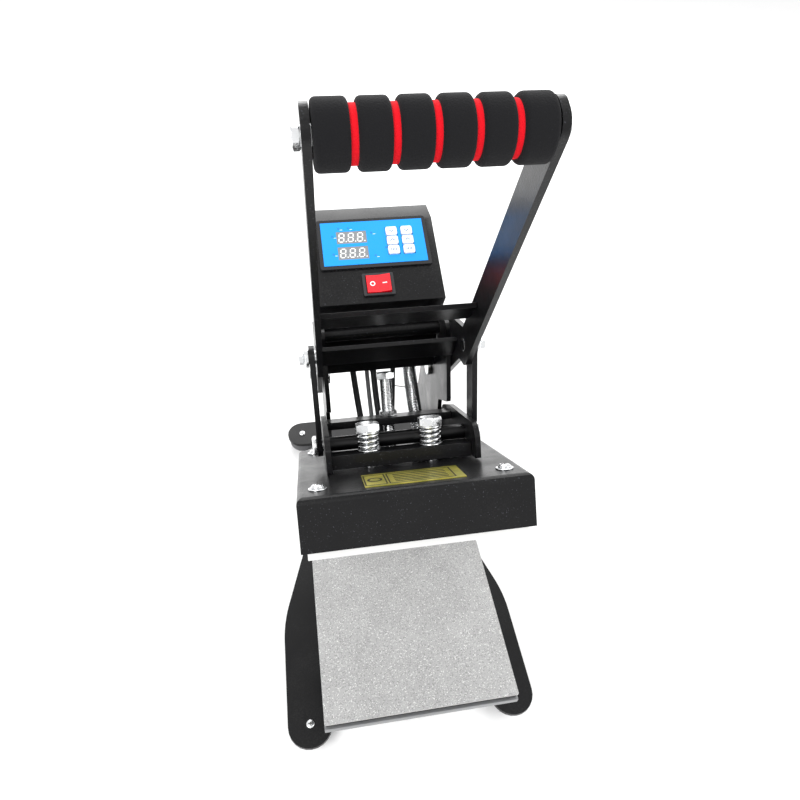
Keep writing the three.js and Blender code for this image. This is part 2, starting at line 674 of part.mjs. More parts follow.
function linkFoot() {
  const point = new THREE.Vector3(0, LINK_FOOT.u, LINK_FOOT.v).add(shut.position);
  point.applyEuler(platenArm.rotation).add(platenArm.position);
  return { y: point.y, z: point.z };
}

function buildLinks() {
  const low = linkFoot();
  const outline = beltOutline([
    { a: low.y, b: low.z, r: LINK_EYE },
    { a: ELBOW.y, b: ELBOW.z, r: LINK_EYE },
  ], 12);
  const holes = [
    [low.y, low.z, 5.35],
    [ELBOW.y, ELBOW.z, 5.35],
  ];
  const outer = LINK_INNER + LINK_THICKNESS;
  SIDES.forEach(([side, sign]) => {
    const plate = sidePlate(outline, holes, plateStart(sign, LINK_INNER, LINK_THICKNESS), LINK_THICKNESS);
    add(press, `link_${side}`, plate, powderBlack);
    pivotBolt(`elbow_bolt_${side}`, sign, SIDE_INNER, outer + GAP, ELBOW);
    pivotBolt(`link_bolt_${side}`, sign, SIDE_INNER + SIDE_THICKNESS + GAP, outer + GAP, low);
  });
}

// Shoulder bolt whose shank runs from shankStart out to a round head at headStart.
function pivotBolt(name, sign, shankStart, headStart, place) {
  const [shank, head, top] = [5, 7.5, headStart + 3.4];
  const profile = [
    [0, shankStart], [shank, shankStart], [shank, headStart], [head, headStart],
    [head, top - 1], [head - 1.5, top], [0, top],
  ];
  const bolt = add(press, name, turnedAlongX(profile, 20), zinc);
  bolt.position.set(0, place.y, place.z);
  if (sign < 0) bolt.rotation.z = Math.PI;
}

// ---------------------------------------------------------------- leads

// Leads run from the control box floor down to the rear wall of the housing.
const LEAD_TOP = BOX_BACK.floor - 3 * GAP;
const LEAD_HEIGHT = 18; // above the underside of the housing
const LEADS = [
  {
    name: "heater_lead_left", radius: 2.7, material: cableBlack,
    top: [-27, 78], hip: [-25, 74], knee: -22, low: -18,
  },
  {
    name: "sensor_lead", radius: 1.9, material: cableGrey,
    top: [-13, 78], hip: [-12, 74], knee: -11, low: -9.5,
  },
  {
    name: "heater_lead_right", radius: 2.7, material: cableBlack,
    top: [-6, 78], hip: [-6, 74], knee: -5, low: -2,
  },
  {
    name: "earth_lead", radius: 2.2, material: cableBlack,
    top: [14, 78], hip: [13, 74], knee: 10, low: 5,
  },
  {
    name: "armoured_lead", radius: 6.4, material: zinc,
    top: [25, 83], hip: [26, 79], knee: 28, low: 32,
  },
];

function inPress(x, u, v) {
  const point = new THREE.Vector3(x, u, v).add(shut.position);
  return point.applyEuler(platenArm.rotation).add(platenArm.position);
}

function buildLeads() {
  LEADS.forEach(({ name, radius, material, top, hip, knee, low }) => {
    const route = new THREE.CatmullRomCurve3([
      new THREE.Vector3(top[0], top[1], LEAD_TOP),
      new THREE.Vector3(top[0], top[1], LEAD_TOP - 6),
      new THREE.Vector3(...hip, 226),
      new THREE.Vector3(knee, 52, 192),
      inPress(low, HOUSING.size + 14, LEAD_HEIGHT + 12),
      inPress(low, HOUSING.size + 5, LEAD_HEIGHT),
      inPress(low, HOUSING.size + 3 * GAP, LEAD_HEIGHT),
    ]);
    const section = outlineShape(polygon(radius, radius > 3 ? 10 : 8));
    const lead = new THREE.ExtrudeGeometry(section, { steps: 14, bevelEnabled: false, extrudePath: route });
    add(press, name, lead, material);
  });
}

// ---------------------------------------------------------------- assembly

buildBase();
buildBed();
buildUprights();
buildPlatenShaft();
buildLeverPins();
buildControlBox();
buildBracket();
buildHousing();
buildBolts();
platenArm.add(shut);
press.add(platenArm);
buildHandle();
buildLinks();
buildLeads();

export default press;
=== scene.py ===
import json
import math

import bpy
import numpy as np
from mathutils import Matrix, Vector


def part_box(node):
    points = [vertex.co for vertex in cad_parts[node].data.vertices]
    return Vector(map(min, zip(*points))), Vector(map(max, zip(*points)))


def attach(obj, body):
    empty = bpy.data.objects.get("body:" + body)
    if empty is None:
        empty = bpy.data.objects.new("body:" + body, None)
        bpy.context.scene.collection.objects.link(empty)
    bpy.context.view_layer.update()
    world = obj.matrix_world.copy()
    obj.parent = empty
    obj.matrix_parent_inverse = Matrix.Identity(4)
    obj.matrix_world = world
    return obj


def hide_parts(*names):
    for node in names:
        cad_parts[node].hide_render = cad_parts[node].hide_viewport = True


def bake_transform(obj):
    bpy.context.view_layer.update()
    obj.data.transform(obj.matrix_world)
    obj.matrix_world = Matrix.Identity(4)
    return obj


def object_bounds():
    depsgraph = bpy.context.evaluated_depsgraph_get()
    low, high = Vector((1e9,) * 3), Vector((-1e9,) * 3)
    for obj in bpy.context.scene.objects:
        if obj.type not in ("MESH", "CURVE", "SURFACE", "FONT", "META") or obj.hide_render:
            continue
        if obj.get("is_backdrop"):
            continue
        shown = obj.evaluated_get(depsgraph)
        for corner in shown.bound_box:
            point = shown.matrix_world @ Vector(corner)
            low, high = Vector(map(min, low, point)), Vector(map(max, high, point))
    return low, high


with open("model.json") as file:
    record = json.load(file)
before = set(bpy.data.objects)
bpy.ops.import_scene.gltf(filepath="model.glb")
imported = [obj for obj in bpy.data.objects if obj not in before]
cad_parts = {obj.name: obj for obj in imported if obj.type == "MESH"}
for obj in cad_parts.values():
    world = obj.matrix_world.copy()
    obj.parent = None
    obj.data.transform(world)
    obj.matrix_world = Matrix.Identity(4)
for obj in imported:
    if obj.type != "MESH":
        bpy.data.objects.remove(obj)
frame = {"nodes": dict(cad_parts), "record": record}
CAD_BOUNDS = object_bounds()

bl_info = {
    "name": "Clamshell heat press",
    "version": (1, 0, 0),
    "blender": (4, 5, 0),
    "location": "3D View > Sidebar > Heat Press",
    "description": "Builds the finishes and fine pieces of a small clamshell heat press",
    "category": "Object",
}

MM = 0.001

# ---------------------------------------------------------------- places, in millimetres

OPEN_ANGLE = math.radians(39.1)
PLATEN_PIVOT = (0, 44, 89.5)
PIVOT_IN_ARM = (0, 231.5, -9.8)  # the same pivot in the platen arm's own U and V
BOX_LIP = (0, 55, 294)
FACE_ANGLE = math.atan2(30, 72)
LEVER_PIVOT = (73.5, 204.4)
ELBOW = (0, 292)
GRIP = (-78.5, 485)
HOUSING_SIZE = 155
HOUSING_HEIGHT = 35.9
FRONT_BAR_TOP = 47.3
SPRING_BOLT = (23.5, 72)
BOLT_HEAD_TOP = 68
PRESSURE_BOLT_U = 134
PRESSURE_BOLT_TOP = 99
PANEL = {"x": -0.4, "s": 55, "width": 84, "height": 41, "top": 1.9}
SWITCH = {"x": -1.3, "s": 15.6}
BUTTON_COLUMNS = {"time": 15, "heat": 27.5}
BUTTON_ROWS = {"top": 64.1, "middle": 55, "bottom": 46}
BUTTON_SIZE = (9.2, 7.8)
BUTTON_TOP = 3.5
FEET = [(-88.9, -158.8), (88.9, -158.8), (-77.7, 169.4), (77.7, 169.4)]
BASE_TOP = 17
SIDES = (("left", -1), ("right", 1))


def turned_frame(angle, origin, local_origin=(0, 0, 0)):
    """Matrix from a tilted part's own axes to the press, both in millimetres, as a turn about X."""
    turn = Matrix.Rotation(angle, 4, "X")
    return Matrix.Translation(origin) @ turn @ Matrix.Translation([-c for c in local_origin])


WORLD = Matrix.Identity(4)
ARM = turned_frame(-OPEN_ANGLE, PLATEN_PIVOT, PIVOT_IN_ARM)
FACE = turned_frame(FACE_ANGLE, BOX_LIP)

# ---------------------------------------------------------------- meshes from arrays


def mesh_piece(name, points, faces, place=WORLD, smooth=True):
    """A new object from points in millimetres: place carries them into the press, then they become metres."""
    carry = np.array(place)
    world = (points @ carry[:3, :3].T + carry[:3, 3]) * MM
    mesh = bpy.data.meshes.new(name)
    mesh.from_pydata(world.tolist(), [], [list(map(int, face)) for face in faces])
    mesh.polygons.foreach_set("use_smooth", [smooth] * len(mesh.polygons))
    mesh.update()
    piece = bpy.data.objects.new(name, mesh)
    bpy.context.scene.collection.objects.link(piece)
    return piece


def grid_faces(rows, columns, wrap_rows=False, wrap_columns=True):
    """Quads of a rows by columns grid, joined end to end where it wraps."""
    i = np.arange(rows if wrap_rows else rows - 1)
    j = np.arange(columns if wrap_columns else columns - 1)
    i, j = (a.ravel() for a in np.meshgrid(i, j, indexing="ij"))
    down = (i + 1) % rows
    right = (j + 1) % columns
    return np.stack([i * columns + j, i * columns + right, down * columns + right, down * columns + j], 1)


def turned_points(profile, sides, radius_at=None):
    """Profile [radius, height] turned about Z: (r cos a, r sin a, h), with r scaled by radius_at(a, h)."""
    profile = np.array(profile, float)
    angle = np.linspace(0, 2 * math.pi, sides, endpoint=False)
    a, r = np.meshgrid(angle, profile[:, 0])
    h = np.broadcast_to(profile[:, 1][:, None], a.shape)
    if radius_at is not None:
        r = r * radius_at(a, h)
    return np.stack([r * np.cos(a), r * np.sin(a), h], 2)


def turned_piece(name, profile, place=WORLD, at=(0, 0, 0), sides=48, along="Z", radius_at=None, closed=False):
    """A turned piece: its profile runs from low to high, with capped ends unless the profile is a loop."""
    grid = turned_points(profile, sides, radius_at)
    rows = len(grid)
    points = grid.reshape(-1, 3)
    faces = grid_faces(rows, sides, wrap_rows=closed).tolist()
    if not closed:
        faces.append(list(range(sides))[::-1])
        faces.append(list(range((rows - 1) * sides, rows * sides)))
    if along == "X":
        points = points[:, [2, 0, 1]]
    return mesh_piece(name, points + np.array(at, float), faces, place)


def slab_piece(name, outlines, low, high, place=WORLD):
    """Flat-sided solids: each outline of [x, y] points is raised from low to high."""
    points = []
    faces = []
    for outline in outlines:
        n = len(outline)
        first = len(points)
        points += [(x, y, low) for x, y in outline] + [(x, y, high) for x, y in outline]
        faces.append([first + k for k in range(n)][::-1])
        faces.append([first + n + k for k in range(n)])
        faces += [[first + k, first + (k + 1) % n, first + n + (k + 1) % n, first + n + k] for k in range(n)]
    return mesh_piece(name, np.array(points, float), faces, place, smooth=False)


def tube_points(path, radius, sides):
    """Circles of the given radius (one value or one a point) carried along a path without twisting."""
    path = np.array(path, float)
    ahead = np.gradient(path, axis=0)
    ahead /= np.linalg.norm(ahead, axis=1)[:, None]
    side = np.cross(ahead, [1.0, 0.0, 0.0])
    weak = np.linalg.norm(side, axis=1) < 1e-3
    side[weak] = np.cross(ahead[weak], [0.0, 1.0, 0.0])
    side /= np.linalg.norm(side, axis=1)[:, None]
    other = np.cross(ahead, side)
    angle = np.linspace(0, 2 * math.pi, sides, endpoint=False)
    radius = np.broadcast_to(np.asarray(radius, float), len(path))[:, None, None]
    ring = np.cos(angle)[None, :, None] * side[:, None] + np.sin(angle)[None, :, None] * other[:, None]
    return path[:, None] + radius * ring


def tube_piece(name, path, radius, place=WORLD, sides=12):
    """A round bar along a path, capped at both ends."""
    grid = tube_points(path, radius, sides)
    rows = len(grid)
    faces = [face[::-1] for face in grid_faces(rows, sides).tolist()]
    faces.append(list(range(sides)))
    faces.append(list(range((rows - 1) * sides, rows * sides))[::-1])
    piece = mesh_piece(name, grid.reshape(-1, 3), faces, place)
    add_strip_map(piece, rows, sides, path)
    return piece


def add_strip_map(piece, rows, sides, path):
    """Stores each point's turn round the tube and its way along it, in metres, as the attribute "strip"."""
    steps = np.linalg.norm(np.diff(np.array(path, float), axis=0), axis=1)
    way = np.concatenate([[0], np.cumsum(steps)]) * MM
    turn = np.arange(sides) / sides
    strip = np.zeros((rows, sides, 3), np.float32)
    strip[..., 0] = turn[None]
    strip[..., 1] = way[:, None]
    layer = piece.data.attributes.new("strip", "FLOAT_VECTOR", "POINT")
    layer.data.foreach_set("vector", strip.ravel())


def smooth_path(points, count):
    """Catmull-Rom curve through the points, sampled evenly in its parameter."""
    p = np.array(points, float)
    p = np.vstack([2 * p[0] - p[1], p, 2 * p[-1] - p[-2]])
    spans = len(p) - 3
    t = np.linspace(0, spans - 1e-9, count)
    k = t.astype(int)
    f = (t - k)[:, None]
    a, b, c, d = p[k], p[k + 1], p[k + 2], p[k + 3]
    return 0.5 * (2 * b + (c - a) * f + (2 * a - 5 * b + 4 * c - d) * f**2 + (3 * b - 3 * c + d - a) * f**3)


def rectangle(x, y, width, height):
    """Corners of a rectangle about its middle, counter-clockwise."""
    w, h = width / 2, height / 2
    return [(x - w, y - h), (x + w, y - h), (x + w, y + h), (x - w, y + h)]


def stroke(start, end, width):
    """A thin straight bar between two points."""
    start, end = np.array(start, float), np.array(end, float)
    ahead = (end - start) / np.linalg.norm(end - start)
    side = np.array([-ahead[1], ahead[0]]) * width / 2
    return [tuple(start - side), tuple(end - side), tuple(end + side), tuple(start + side)]


def ring_outlines(x, y, outer, inner, steps=20):
    """A flat ring as short four-sided pieces."""
    edges = np.linspace(0, 2 * math.pi, steps + 1)
    outlines = []
    for a0, a1 in zip(edges[:-1], edges[1:]):
        corners = ((inner, a0), (outer, a0), (outer, a1), (inner, a1))
        outlines.append([(x + r * math.cos(a), y + r * math.sin(a)) for r, a in corners])
    return outlines


# ---------------------------------------------------------------- shader node groups


def new_group(name, inputs, outputs):
    """An empty shader group with float inputs {name: default}, a Vector input and float outputs."""
    tree = bpy.data.node_groups.new(name, "ShaderNodeTree")
    tree.interface.new_socket("Vector", in_out="INPUT", socket_type="NodeSocketVector")
    for label, value in inputs.items():
        tree.interface.new_socket(label, in_out="INPUT", socket_type="NodeSocketFloat").default_value = value
    for label in outputs:
        tree.interface.new_socket(label, in_out="OUTPUT", socket_type="NodeSocketFloat")
    return tree, tree.nodes.new("NodeGroupInput"), tree.nodes.new("NodeGroupOutput")


def math_node(tree, operation, first, second=None):
    """A Math node whose inputs are sockets or numbers; gives its output."""
    node = tree.nodes.new("ShaderNodeMath")
    node.operation = operation
    for socket, value in zip(node.inputs, (first, second)):
        if isinstance(value, (int, float)):
            socket.default_value = value
        elif value is not None:
            tree.links.new(value, socket)
    return node.outputs[0]


def map_range(tree, value, from_low, from_high, to_low=0.0, to_high=1.0):
    """A clamped Map Range node; its limits are sockets or numbers."""
    node = tree.nodes.new("ShaderNodeMapRange")
    tree.links.new(value, node.inputs["Value"])
    limits = {"From Min": from_low, "From Max": from_high, "To Min": to_low, "To Max": to_high}
    for label, limit in limits.items():
        if isinstance(limit, (int, float)):
            node.inputs[label].default_value = limit
        else:
            tree.links.new(limit, node.inputs[label])
    return node.outputs["Result"]


def noise(tree, vector, scale, detail=2.0, roughness=0.5):
    """A Noise Texture's value; scale is a socket or a number, in cells a metre."""
    node = tree.nodes.new("ShaderNodeTexNoise")
    tree.links.new(vector, node.inputs["Vector"])
    node.inputs["Detail"].default_value = detail
    node.inputs["Roughness"].default_value = roughness
    if isinstance(scale, (int, float)):
        node.inputs["Scale"].default_value = scale
    else:
        tree.links.new(scale, node.inputs["Scale"])
    return node.outputs["Fac"]


def cells(tree, vector, scale):
    """Distance from the nearest Voronoi cell middle; scale is a socket, in cells a metre."""
    node = tree.nodes.new("ShaderNodeTexVoronoi")
    tree.links.new(vector, node.inputs["Vector"])
    tree.links.new(scale, node.inputs["Scale"])
    return node.outputs["Distance"]


def build_grain_group():
    """Fine orange-peel grain. Size is one bump in metres, and the other value is the share of bumps that are
    marked: on the powder coat the marks are painted glints, bumps coloured as if they catch the light, and in
    the other finishes they are real flecks and lint.
    """
    tree, given, result = new_group("Grain", {"Size": 0.0006, "Flecks": 0.1}, ["Height", "Fleck"])
    scale = math_node(tree, "DIVIDE", 1.0, given.outputs["Size"])
    vector = given.outputs["Vector"]
    bump = noise(tree, vector, scale, 3.0, 0.55)
    pit = cells(tree, vector, math_node(tree, "MULTIPLY", scale, 0.7))
    height = math_node(tree, "ADD", bump, math_node(tree, "MULTIPLY", pit, -0.5))
    tree.links.new(height, result.inputs["Height"])
    grain = noise(tree, vector, math_node(tree, "MULTIPLY", scale, 0.9), 1.0)
    edge = math_node(tree, "SUBTRACT", 0.78, math_node(tree, "MULTIPLY", given.outputs["Flecks"], 0.5))
    fleck = map_range(tree, grain, edge, math_node(tree, "ADD", edge, 0.04))
    tree.links.new(fleck, result.inputs["Fleck"])
    return tree


def build_smudge_group():
    """Slow cloudy change between Low and High, such as handling marks in a gloss."""
    tree, given, result = new_group("Smudges", {"Size": 0.03, "Low": 0.3, "High": 0.5}, ["Value"])
    scale = math_node(tree, "DIVIDE", 1.0, given.outputs["Size"])
    cloud = noise(tree, given.outputs["Vector"], scale, 5.0, 0.6)
    value = map_range(tree, cloud, 0.35, 0.65, given.outputs["Low"], given.outputs["High"])
    tree.links.new(value, result.inputs["Value"])
    return tree


def build_dust_group():
    """Thin dust on surfaces that face up. Amount is the most that it covers."""
    tree, given, result = new_group("Dust", {"Amount": 0.1}, ["Mask"])
    geometry = tree.nodes.new("ShaderNodeNewGeometry")
    split = tree.nodes.new("ShaderNodeSeparateXYZ")
    tree.links.new(geometry.outputs["Normal"], split.inputs[0])
    upward = map_range(tree, split.outputs["Z"], 0.5, 1.0)
    specks = noise(tree, given.outputs["Vector"], 900.0, 4.0, 0.7)
    cloud = noise(tree, given.outputs["Vector"], 35.0, 3.0)
    cover = math_node(tree, "MULTIPLY", map_range(tree, specks, 0.45, 0.75), map_range(tree, cloud, 0.3, 0.7))
    mask = math_node(tree, "MULTIPLY", math_node(tree, "MULTIPLY", upward, cover), given.outputs["Amount"])
    tree.links.new(mask, result.inputs["Mask"])
    return tree


GROUPS = {}


def use_group(tree, key, vector, **values):
    """Places a shared group in a material, with its own values."""
    if key not in GROUPS:
        builders = {"grain": build_grain_group, "smudges": build_smudge_group, "dust": build_dust_group}
        GROUPS[key] = builders[key]()
    node = tree.nodes.new("ShaderNodeGroup")
    node.node_tree = GROUPS[key]
    tree.links.new(vector, node.inputs["Vector"])
    for label, value in values.items():
        node.inputs[label].default_value = value
    return node.outputs


# ---------------------------------------------------------------- materials


def new_material(name, colour, roughness, metallic=0.0, **sockets):
    """A Principled material with plain values; gives it, its tree, its shader and Object coordinates."""
    made = bpy.data.materials.new(name)
    made.use_nodes = True
    tree = made.node_tree
    shader = tree.nodes["Principled BSDF"]
    shader.inputs["Base Color"].default_value = (*colour, 1.0)
    shader.inputs["Roughness"].default_value = roughness
    shader.inputs["Metallic"].default_value = metallic
    for label, value in sockets.items():
        shader.inputs[label.replace("_", " ")].default_value = value
    made.diffuse_color = (*colour, 1.0)
    place = tree.nodes.new("ShaderNodeTexCoord")
    return made, tree, shader, place.outputs["Object"]


def mix_colour(tree, mask, below, above):
    """below where the mask is 0 and above where it is 1; each is a socket or an RGB colour."""
    node = tree.nodes.new("ShaderNodeMix")
    node.data_type = "RGBA"
    tree.links.new(mask, node.inputs["Factor"])
    for socket, value in ((node.inputs[6], below), (node.inputs[7], above)):
        if isinstance(value, tuple):
            socket.default_value = (*value, 1.0)
        else:
            tree.links.new(value, socket)
    return node.outputs[2]


def add_bump(tree, shader, height, distance):
    """Bumps the shader's normal; distance is the depth in metres."""
    bump = tree.nodes.new("ShaderNodeBump")
    bump.inputs["Distance"].default_value = distance
    tree.links.new(height, bump.inputs["Height"])
    tree.links.new(bump.outputs["Normal"], shader.inputs["Normal"])


DUST_COLOUR = (0.55, 0.54, 0.52)


def shaded(colour, factor, lift=0.0):
    """The colour made lighter or darker, kept within 1."""
    return tuple(min(1.0, c * factor + lift) for c in colour)


def finish_material(name, colour, rough, metallic=0.0, grain=(0.0006, 0.00003), flecks=(0.0, (0.5, 0.5, 0.5)),
                    dust=0.0, cloud=0.03, **sockets):
    """A coat, plastic or metal with grain (size, depth), flecks (share, colour), smudged gloss and dust; the
    flecks are real on board and fibre sheet and painted glints on the powder coat.
    """
    made, tree, shader, vector = new_material(name, colour, sum(rough) / 2, metallic, **sockets)
    bumps = use_group(tree, "grain", vector, Size=grain[0], Flecks=flecks[0])
    add_bump(tree, shader, bumps["Height"], grain[1])
    smudge = use_group(tree, "smudges", vector, Size=cloud, Low=rough[0], High=rough[1])
    tree.links.new(smudge["Value"], shader.inputs["Roughness"])
    surface = colour
    if flecks[0] > 0:
        surface = mix_colour(tree, bumps["Fleck"], surface, flecks[1])
    if dust > 0:
        film = use_group(tree, "dust", vector, Amount=dust)
        surface = mix_colour(tree, film["Mask"], surface, DUST_COLOUR)
    if surface is not colour:
        tree.links.new(surface, shader.inputs["Base Color"])
    return made


def powder_coat(name, colour, rough, dust=0.04):
    """Textured black powder coat: small hard bumps under a clear gloss, and pale flecks on them as painted
    glints.
    """
    # The fleck colour here is painted light: glints of the lamps on the coat's bumps.
    return finish_material(
        name, colour, rough, grain=(0.0008, 0.00011), flecks=(0.14, (0.05, 0.052, 0.062)), dust=dust,
        Coat_Weight=0.3, Coat_Roughness=0.22, Specular_IOR_Level=0.12,
    )


def brushed_metal(name, colour, rough):
    """Metal with fine lines along X: noise squeezed across them by a Mapping node."""
    made, tree, shader, vector = new_material(name, colour, sum(rough) / 2, 1.0)
    mapping = tree.nodes.new("ShaderNodeMapping")
    mapping.inputs["Scale"].default_value = (1.0, 40.0, 40.0)
    tree.links.new(vector, mapping.inputs["Vector"])
    lines = noise(tree, mapping.outputs["Vector"], 120.0, 4.0, 0.65)
    add_bump(tree, shader, lines, 0.00001)
    tree.links.new(map_range(tree, lines, 0.3, 0.7, *rough), shader.inputs["Roughness"])
    smudge = use_group(tree, "smudges", vector, Size=0.025, Low=0.0, High=0.35)
    tone = mix_colour(tree, smudge["Value"], colour, shaded(colour, 0.72))
    tree.links.new(tone, shader.inputs["Base Color"])
    return made


def speckled_silicone(name, colour):
    """Matte silicone sheet with dark and pale flecks through it and a faint moulded skin."""
    made, tree, shader, vector = new_material(name, colour, 0.75)
    dark = use_group(tree, "grain", vector, Size=0.0010, Flecks=0.38)
    pale = use_group(tree, "grain", vector, Size=0.0008, Flecks=0.28)
    cloud = use_group(tree, "smudges", vector, Size=0.02, Low=0.0, High=1.0)
    tone = mix_colour(tree, cloud["Value"], shaded(colour, 0.94), shaded(colour, 1.05))
    tone = mix_colour(tree, math_node(tree, "MULTIPLY", dark["Fleck"], 0.5), tone, (0.14, 0.14, 0.14))
    tone = mix_colour(tree, math_node(tree, "MULTIPLY", pale["Fleck"], 0.6), tone, (0.85, 0.85, 0.84))
    tree.links.new(tone, shader.inputs["Base Color"])
    add_bump(tree, shader, dark["Height"], 0.00006)
    return made


def foam_material(name, colour, pore=0.0007):
    """Closed-cell foam: small pits, a soft sheen and pale lint."""
    made, tree, shader, vector = new_material(
        name, colour, 0.9, Sheen_Weight=0.03, Sheen_Roughness=0.4, Specular_IOR_Level=0.25,
    )
    pits = use_group(tree, "grain", vector, Size=pore, Flecks=0.12)
    lint = math_node(tree, "MULTIPLY", pits["Fleck"], 0.4)
    tone = mix_colour(tree, lint, colour, shaded(colour, 1.6, 0.008))
    tree.links.new(tone, shader.inputs["Base Color"])
    add_bump(tree, shader, pits["Height"], 0.0002)
    return made


STRANDS = 8.0  # strands of a woven sleeve that run each way round it


def braid_material(name, colour, pale, pitch, roughness, metallic=0.0):
    """Woven sleeve or wound armour: the higher of sin(along + n * turn) and sin(along - n * turn)."""
    made, tree, shader, _ = new_material(name, colour, roughness, metallic)
    strip = tree.nodes.new("ShaderNodeAttribute")
    strip.attribute_name = "strip"
    split = tree.nodes.new("ShaderNodeSeparateXYZ")
    tree.links.new(strip.outputs["Vector"], split.inputs[0])
    round_it = math_node(tree, "MULTIPLY", split.outputs["X"], STRANDS * 2 * math.pi)
    along = math_node(tree, "MULTIPLY", split.outputs["Y"], 2 * math.pi / pitch)
    one = math_node(tree, "SINE", math_node(tree, "ADD", along, round_it))
    two = math_node(tree, "SINE", math_node(tree, "SUBTRACT", along, round_it))
    weave = math_node(tree, "MAXIMUM", one, two)
    tone = mix_colour(tree, map_range(tree, weave, 0.2, 1.0), colour, pale)
    tree.links.new(tone, shader.inputs["Base Color"])
    add_bump(tree, shader, weave, 0.00012)
    return made


def foil_material(name, colour):
    """Gold foil that wanders between a bright and a greenish tone, with a soft crinkle."""
    made, tree, shader, vector = new_material(name, colour, 0.28, 0.7)
    cloud = use_group(tree, "smudges", vector, Size=0.012, Low=0.0, High=1.0)
    tone = mix_colour(tree, cloud["Value"], colour, (0.42, 0.40, 0.05))
    tree.links.new(tone, shader.inputs["Base Color"])
    add_bump(tree, shader, noise(tree, vector, 160.0, 3.0), 0.0003)
    return made


def make_materials(colours):
    """Every finish of the press, by the record's slot name or by the fine piece that wears it."""
    coat = tuple(colours.coat)
    plain = finish_material
    return {
        "powder_black": powder_coat("textured_black_coat_painted_glints", coat, (0.28, 0.42)),
        "satin_black": plain(
            "satin_black_enamel", coat, (0.32, 0.46), grain=(0.0012, 0.00003), dust=0.03,
            Specular_IOR_Level=0.2, Coat_Weight=0.1, Coat_Roughness=0.25),
        "link_black": plain("blackened_rod", coat, (0.25, 0.4), 0.4, (0.0009, 0.00002)),
        "zinc": plain("bright_zinc", (0.80, 0.81, 0.82), (0.12, 0.32), 1.0, (0.0012, 0.00001), cloud=0.006),
        "aluminium": brushed_metal("milled_aluminium", (0.30, 0.305, 0.31), (0.4, 0.55)),
        "platen": plain("platen_coating", (0.78, 0.78, 0.77), (0.3, 0.5), 0.6, (0.0009, 0.00001)),
        "silicone": speckled_silicone("speckled_silicone", (0.34, 0.34, 0.337)),
        "backing_foam": foam_material("backing_sponge", (0.012, 0.012, 0.013), 0.0011),
        "foot_rubber": plain("foot_rubber", (0.10, 0.10, 0.105), (0.6, 0.8), 0.0, (0.0009, 0.00006)),
        "grip_foam": foam_material("grip_foam", tuple(colours.foam)),
        "ring_red": foam_material("ring_foam", tuple(colours.ring), 0.0005),
        "panel_blue": plain("blue_overlay", tuple(colours.panel), (0.28, 0.4), 0.0, (0.002, 0.00001)),
        "bezel": plain("panel_surround", (0.014, 0.014, 0.016), (0.2, 0.35), 0.0, (0.001, 0.00002)),
        "display": plain("display_window", (0.22, 0.23, 0.24), (0.12, 0.2), 0.0, (0.004, 0.000004)),
        "segment": plain("display_segments", (0.86, 0.87, 0.86), (0.3, 0.4), 0.0, (0.001, 0.000004)),
        "button_white": plain("button_caps", (0.86, 0.89, 0.92), (0.35, 0.5), 0.0, (0.001, 0.00001)),
        "print_blue": plain("fine_printing", (0.02, 0.12, 0.28), (0.4, 0.5), 0.0, (0.001, 0.000004)),
        "switch_red": plain(
            "red_rocker", tuple(colours.rocker), (0.12, 0.22), 0.0, (0.003, 0.00001),
            Coat_Weight=0.5, Coat_Roughness=0.08),
        "switch_black": plain("moulded_black", (0.022, 0.022, 0.025), (0.3, 0.45), 0.0, (0.0008, 0.00003)),
        "mark_white": plain("white_printing", (0.9, 0.9, 0.9), (0.4, 0.5), 0.0, (0.001, 0.000004)),
        "board_green": plain(
            "circuit_board", (0.03, 0.16, 0.07), (0.3, 0.45), 0.0, (0.002, 0.00003),
            flecks=(0.3, (0.5, 0.42, 0.2))),
        "insulation": plain(
            "fibre_board", (0.72, 0.68, 0.58), (0.85, 0.95), 0.0, (0.0015, 0.0003),
            flecks=(0.25, (0.85, 0.82, 0.74))),
        "label_gold": foil_material("gold_foil", (0.80, 0.70, 0.12)),
        # Label print, and also painted shade in the screws' cross recesses and the pivots' hex sockets.
        "print_and_shade_black": plain("label_print_and_painted_shade", (0.015, 0.014, 0.010), (0.4, 0.55), 0.0, (0.001, 0.000006)),
        "cable_black": braid_material(
            "black_sleeve", (0.012, 0.012, 0.013), (0.05, 0.05, 0.055), 0.0018, 0.55),
        "cable_grey": braid_material("grey_sleeve", (0.16, 0.165, 0.17), (0.34, 0.345, 0.35), 0.0016, 0.5),
        "conduit": braid_material("wound_armour", (0.55, 0.56, 0.57), (0.85, 0.86, 0.87), 0.0024, 0.25, 1.0),
    }


MATERIALS = {}


def finish_for(key):
    """The finish by name; they are all made the first time that one is asked for."""
    if not MATERIALS:
        MATERIALS.update(make_materials(bpy.context.scene.heat_press_colours))
    return MATERIALS[key]


def wear(piece, key):
    """Puts a finish on a piece or a CAD node."""
    piece.data.materials.clear()
    piece.data.materials.append(finish_for(key))
    return piece


def soften(piece, width, segments=2):
    """Rounds the sharp edges: triangles welded, edges over 35 degrees bevelled, and flats kept flat."""
    weld = piece.modifiers.new("Weld", "WELD")
    weld.merge_threshold = 0.000002
    bevel = piece.modifiers.new("Edges", "BEVEL")
    bevel.width = width
    bevel.segments = segments
    bevel.limit_method = "ANGLE"
    bevel.angle_limit = math.radians(35)
    bevel.use_clamp_overlap = True
    bevel.miter_outer = "MITER_ARC"
    normals = piece.modifiers.new("Flats", "WEIGHTED_NORMAL")
    normals.keep_sharp = True
    piece.data.polygons.foreach_set("use_smooth", [True] * len(piece.data.polygons))


def new_piece(piece, key, body):
    """Finishes a new piece: its material and the body it rides on."""
    wear(piece, key)
    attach(piece, body)
    return piece


# ---------------------------------------------------------------- sizes and colours a user may change


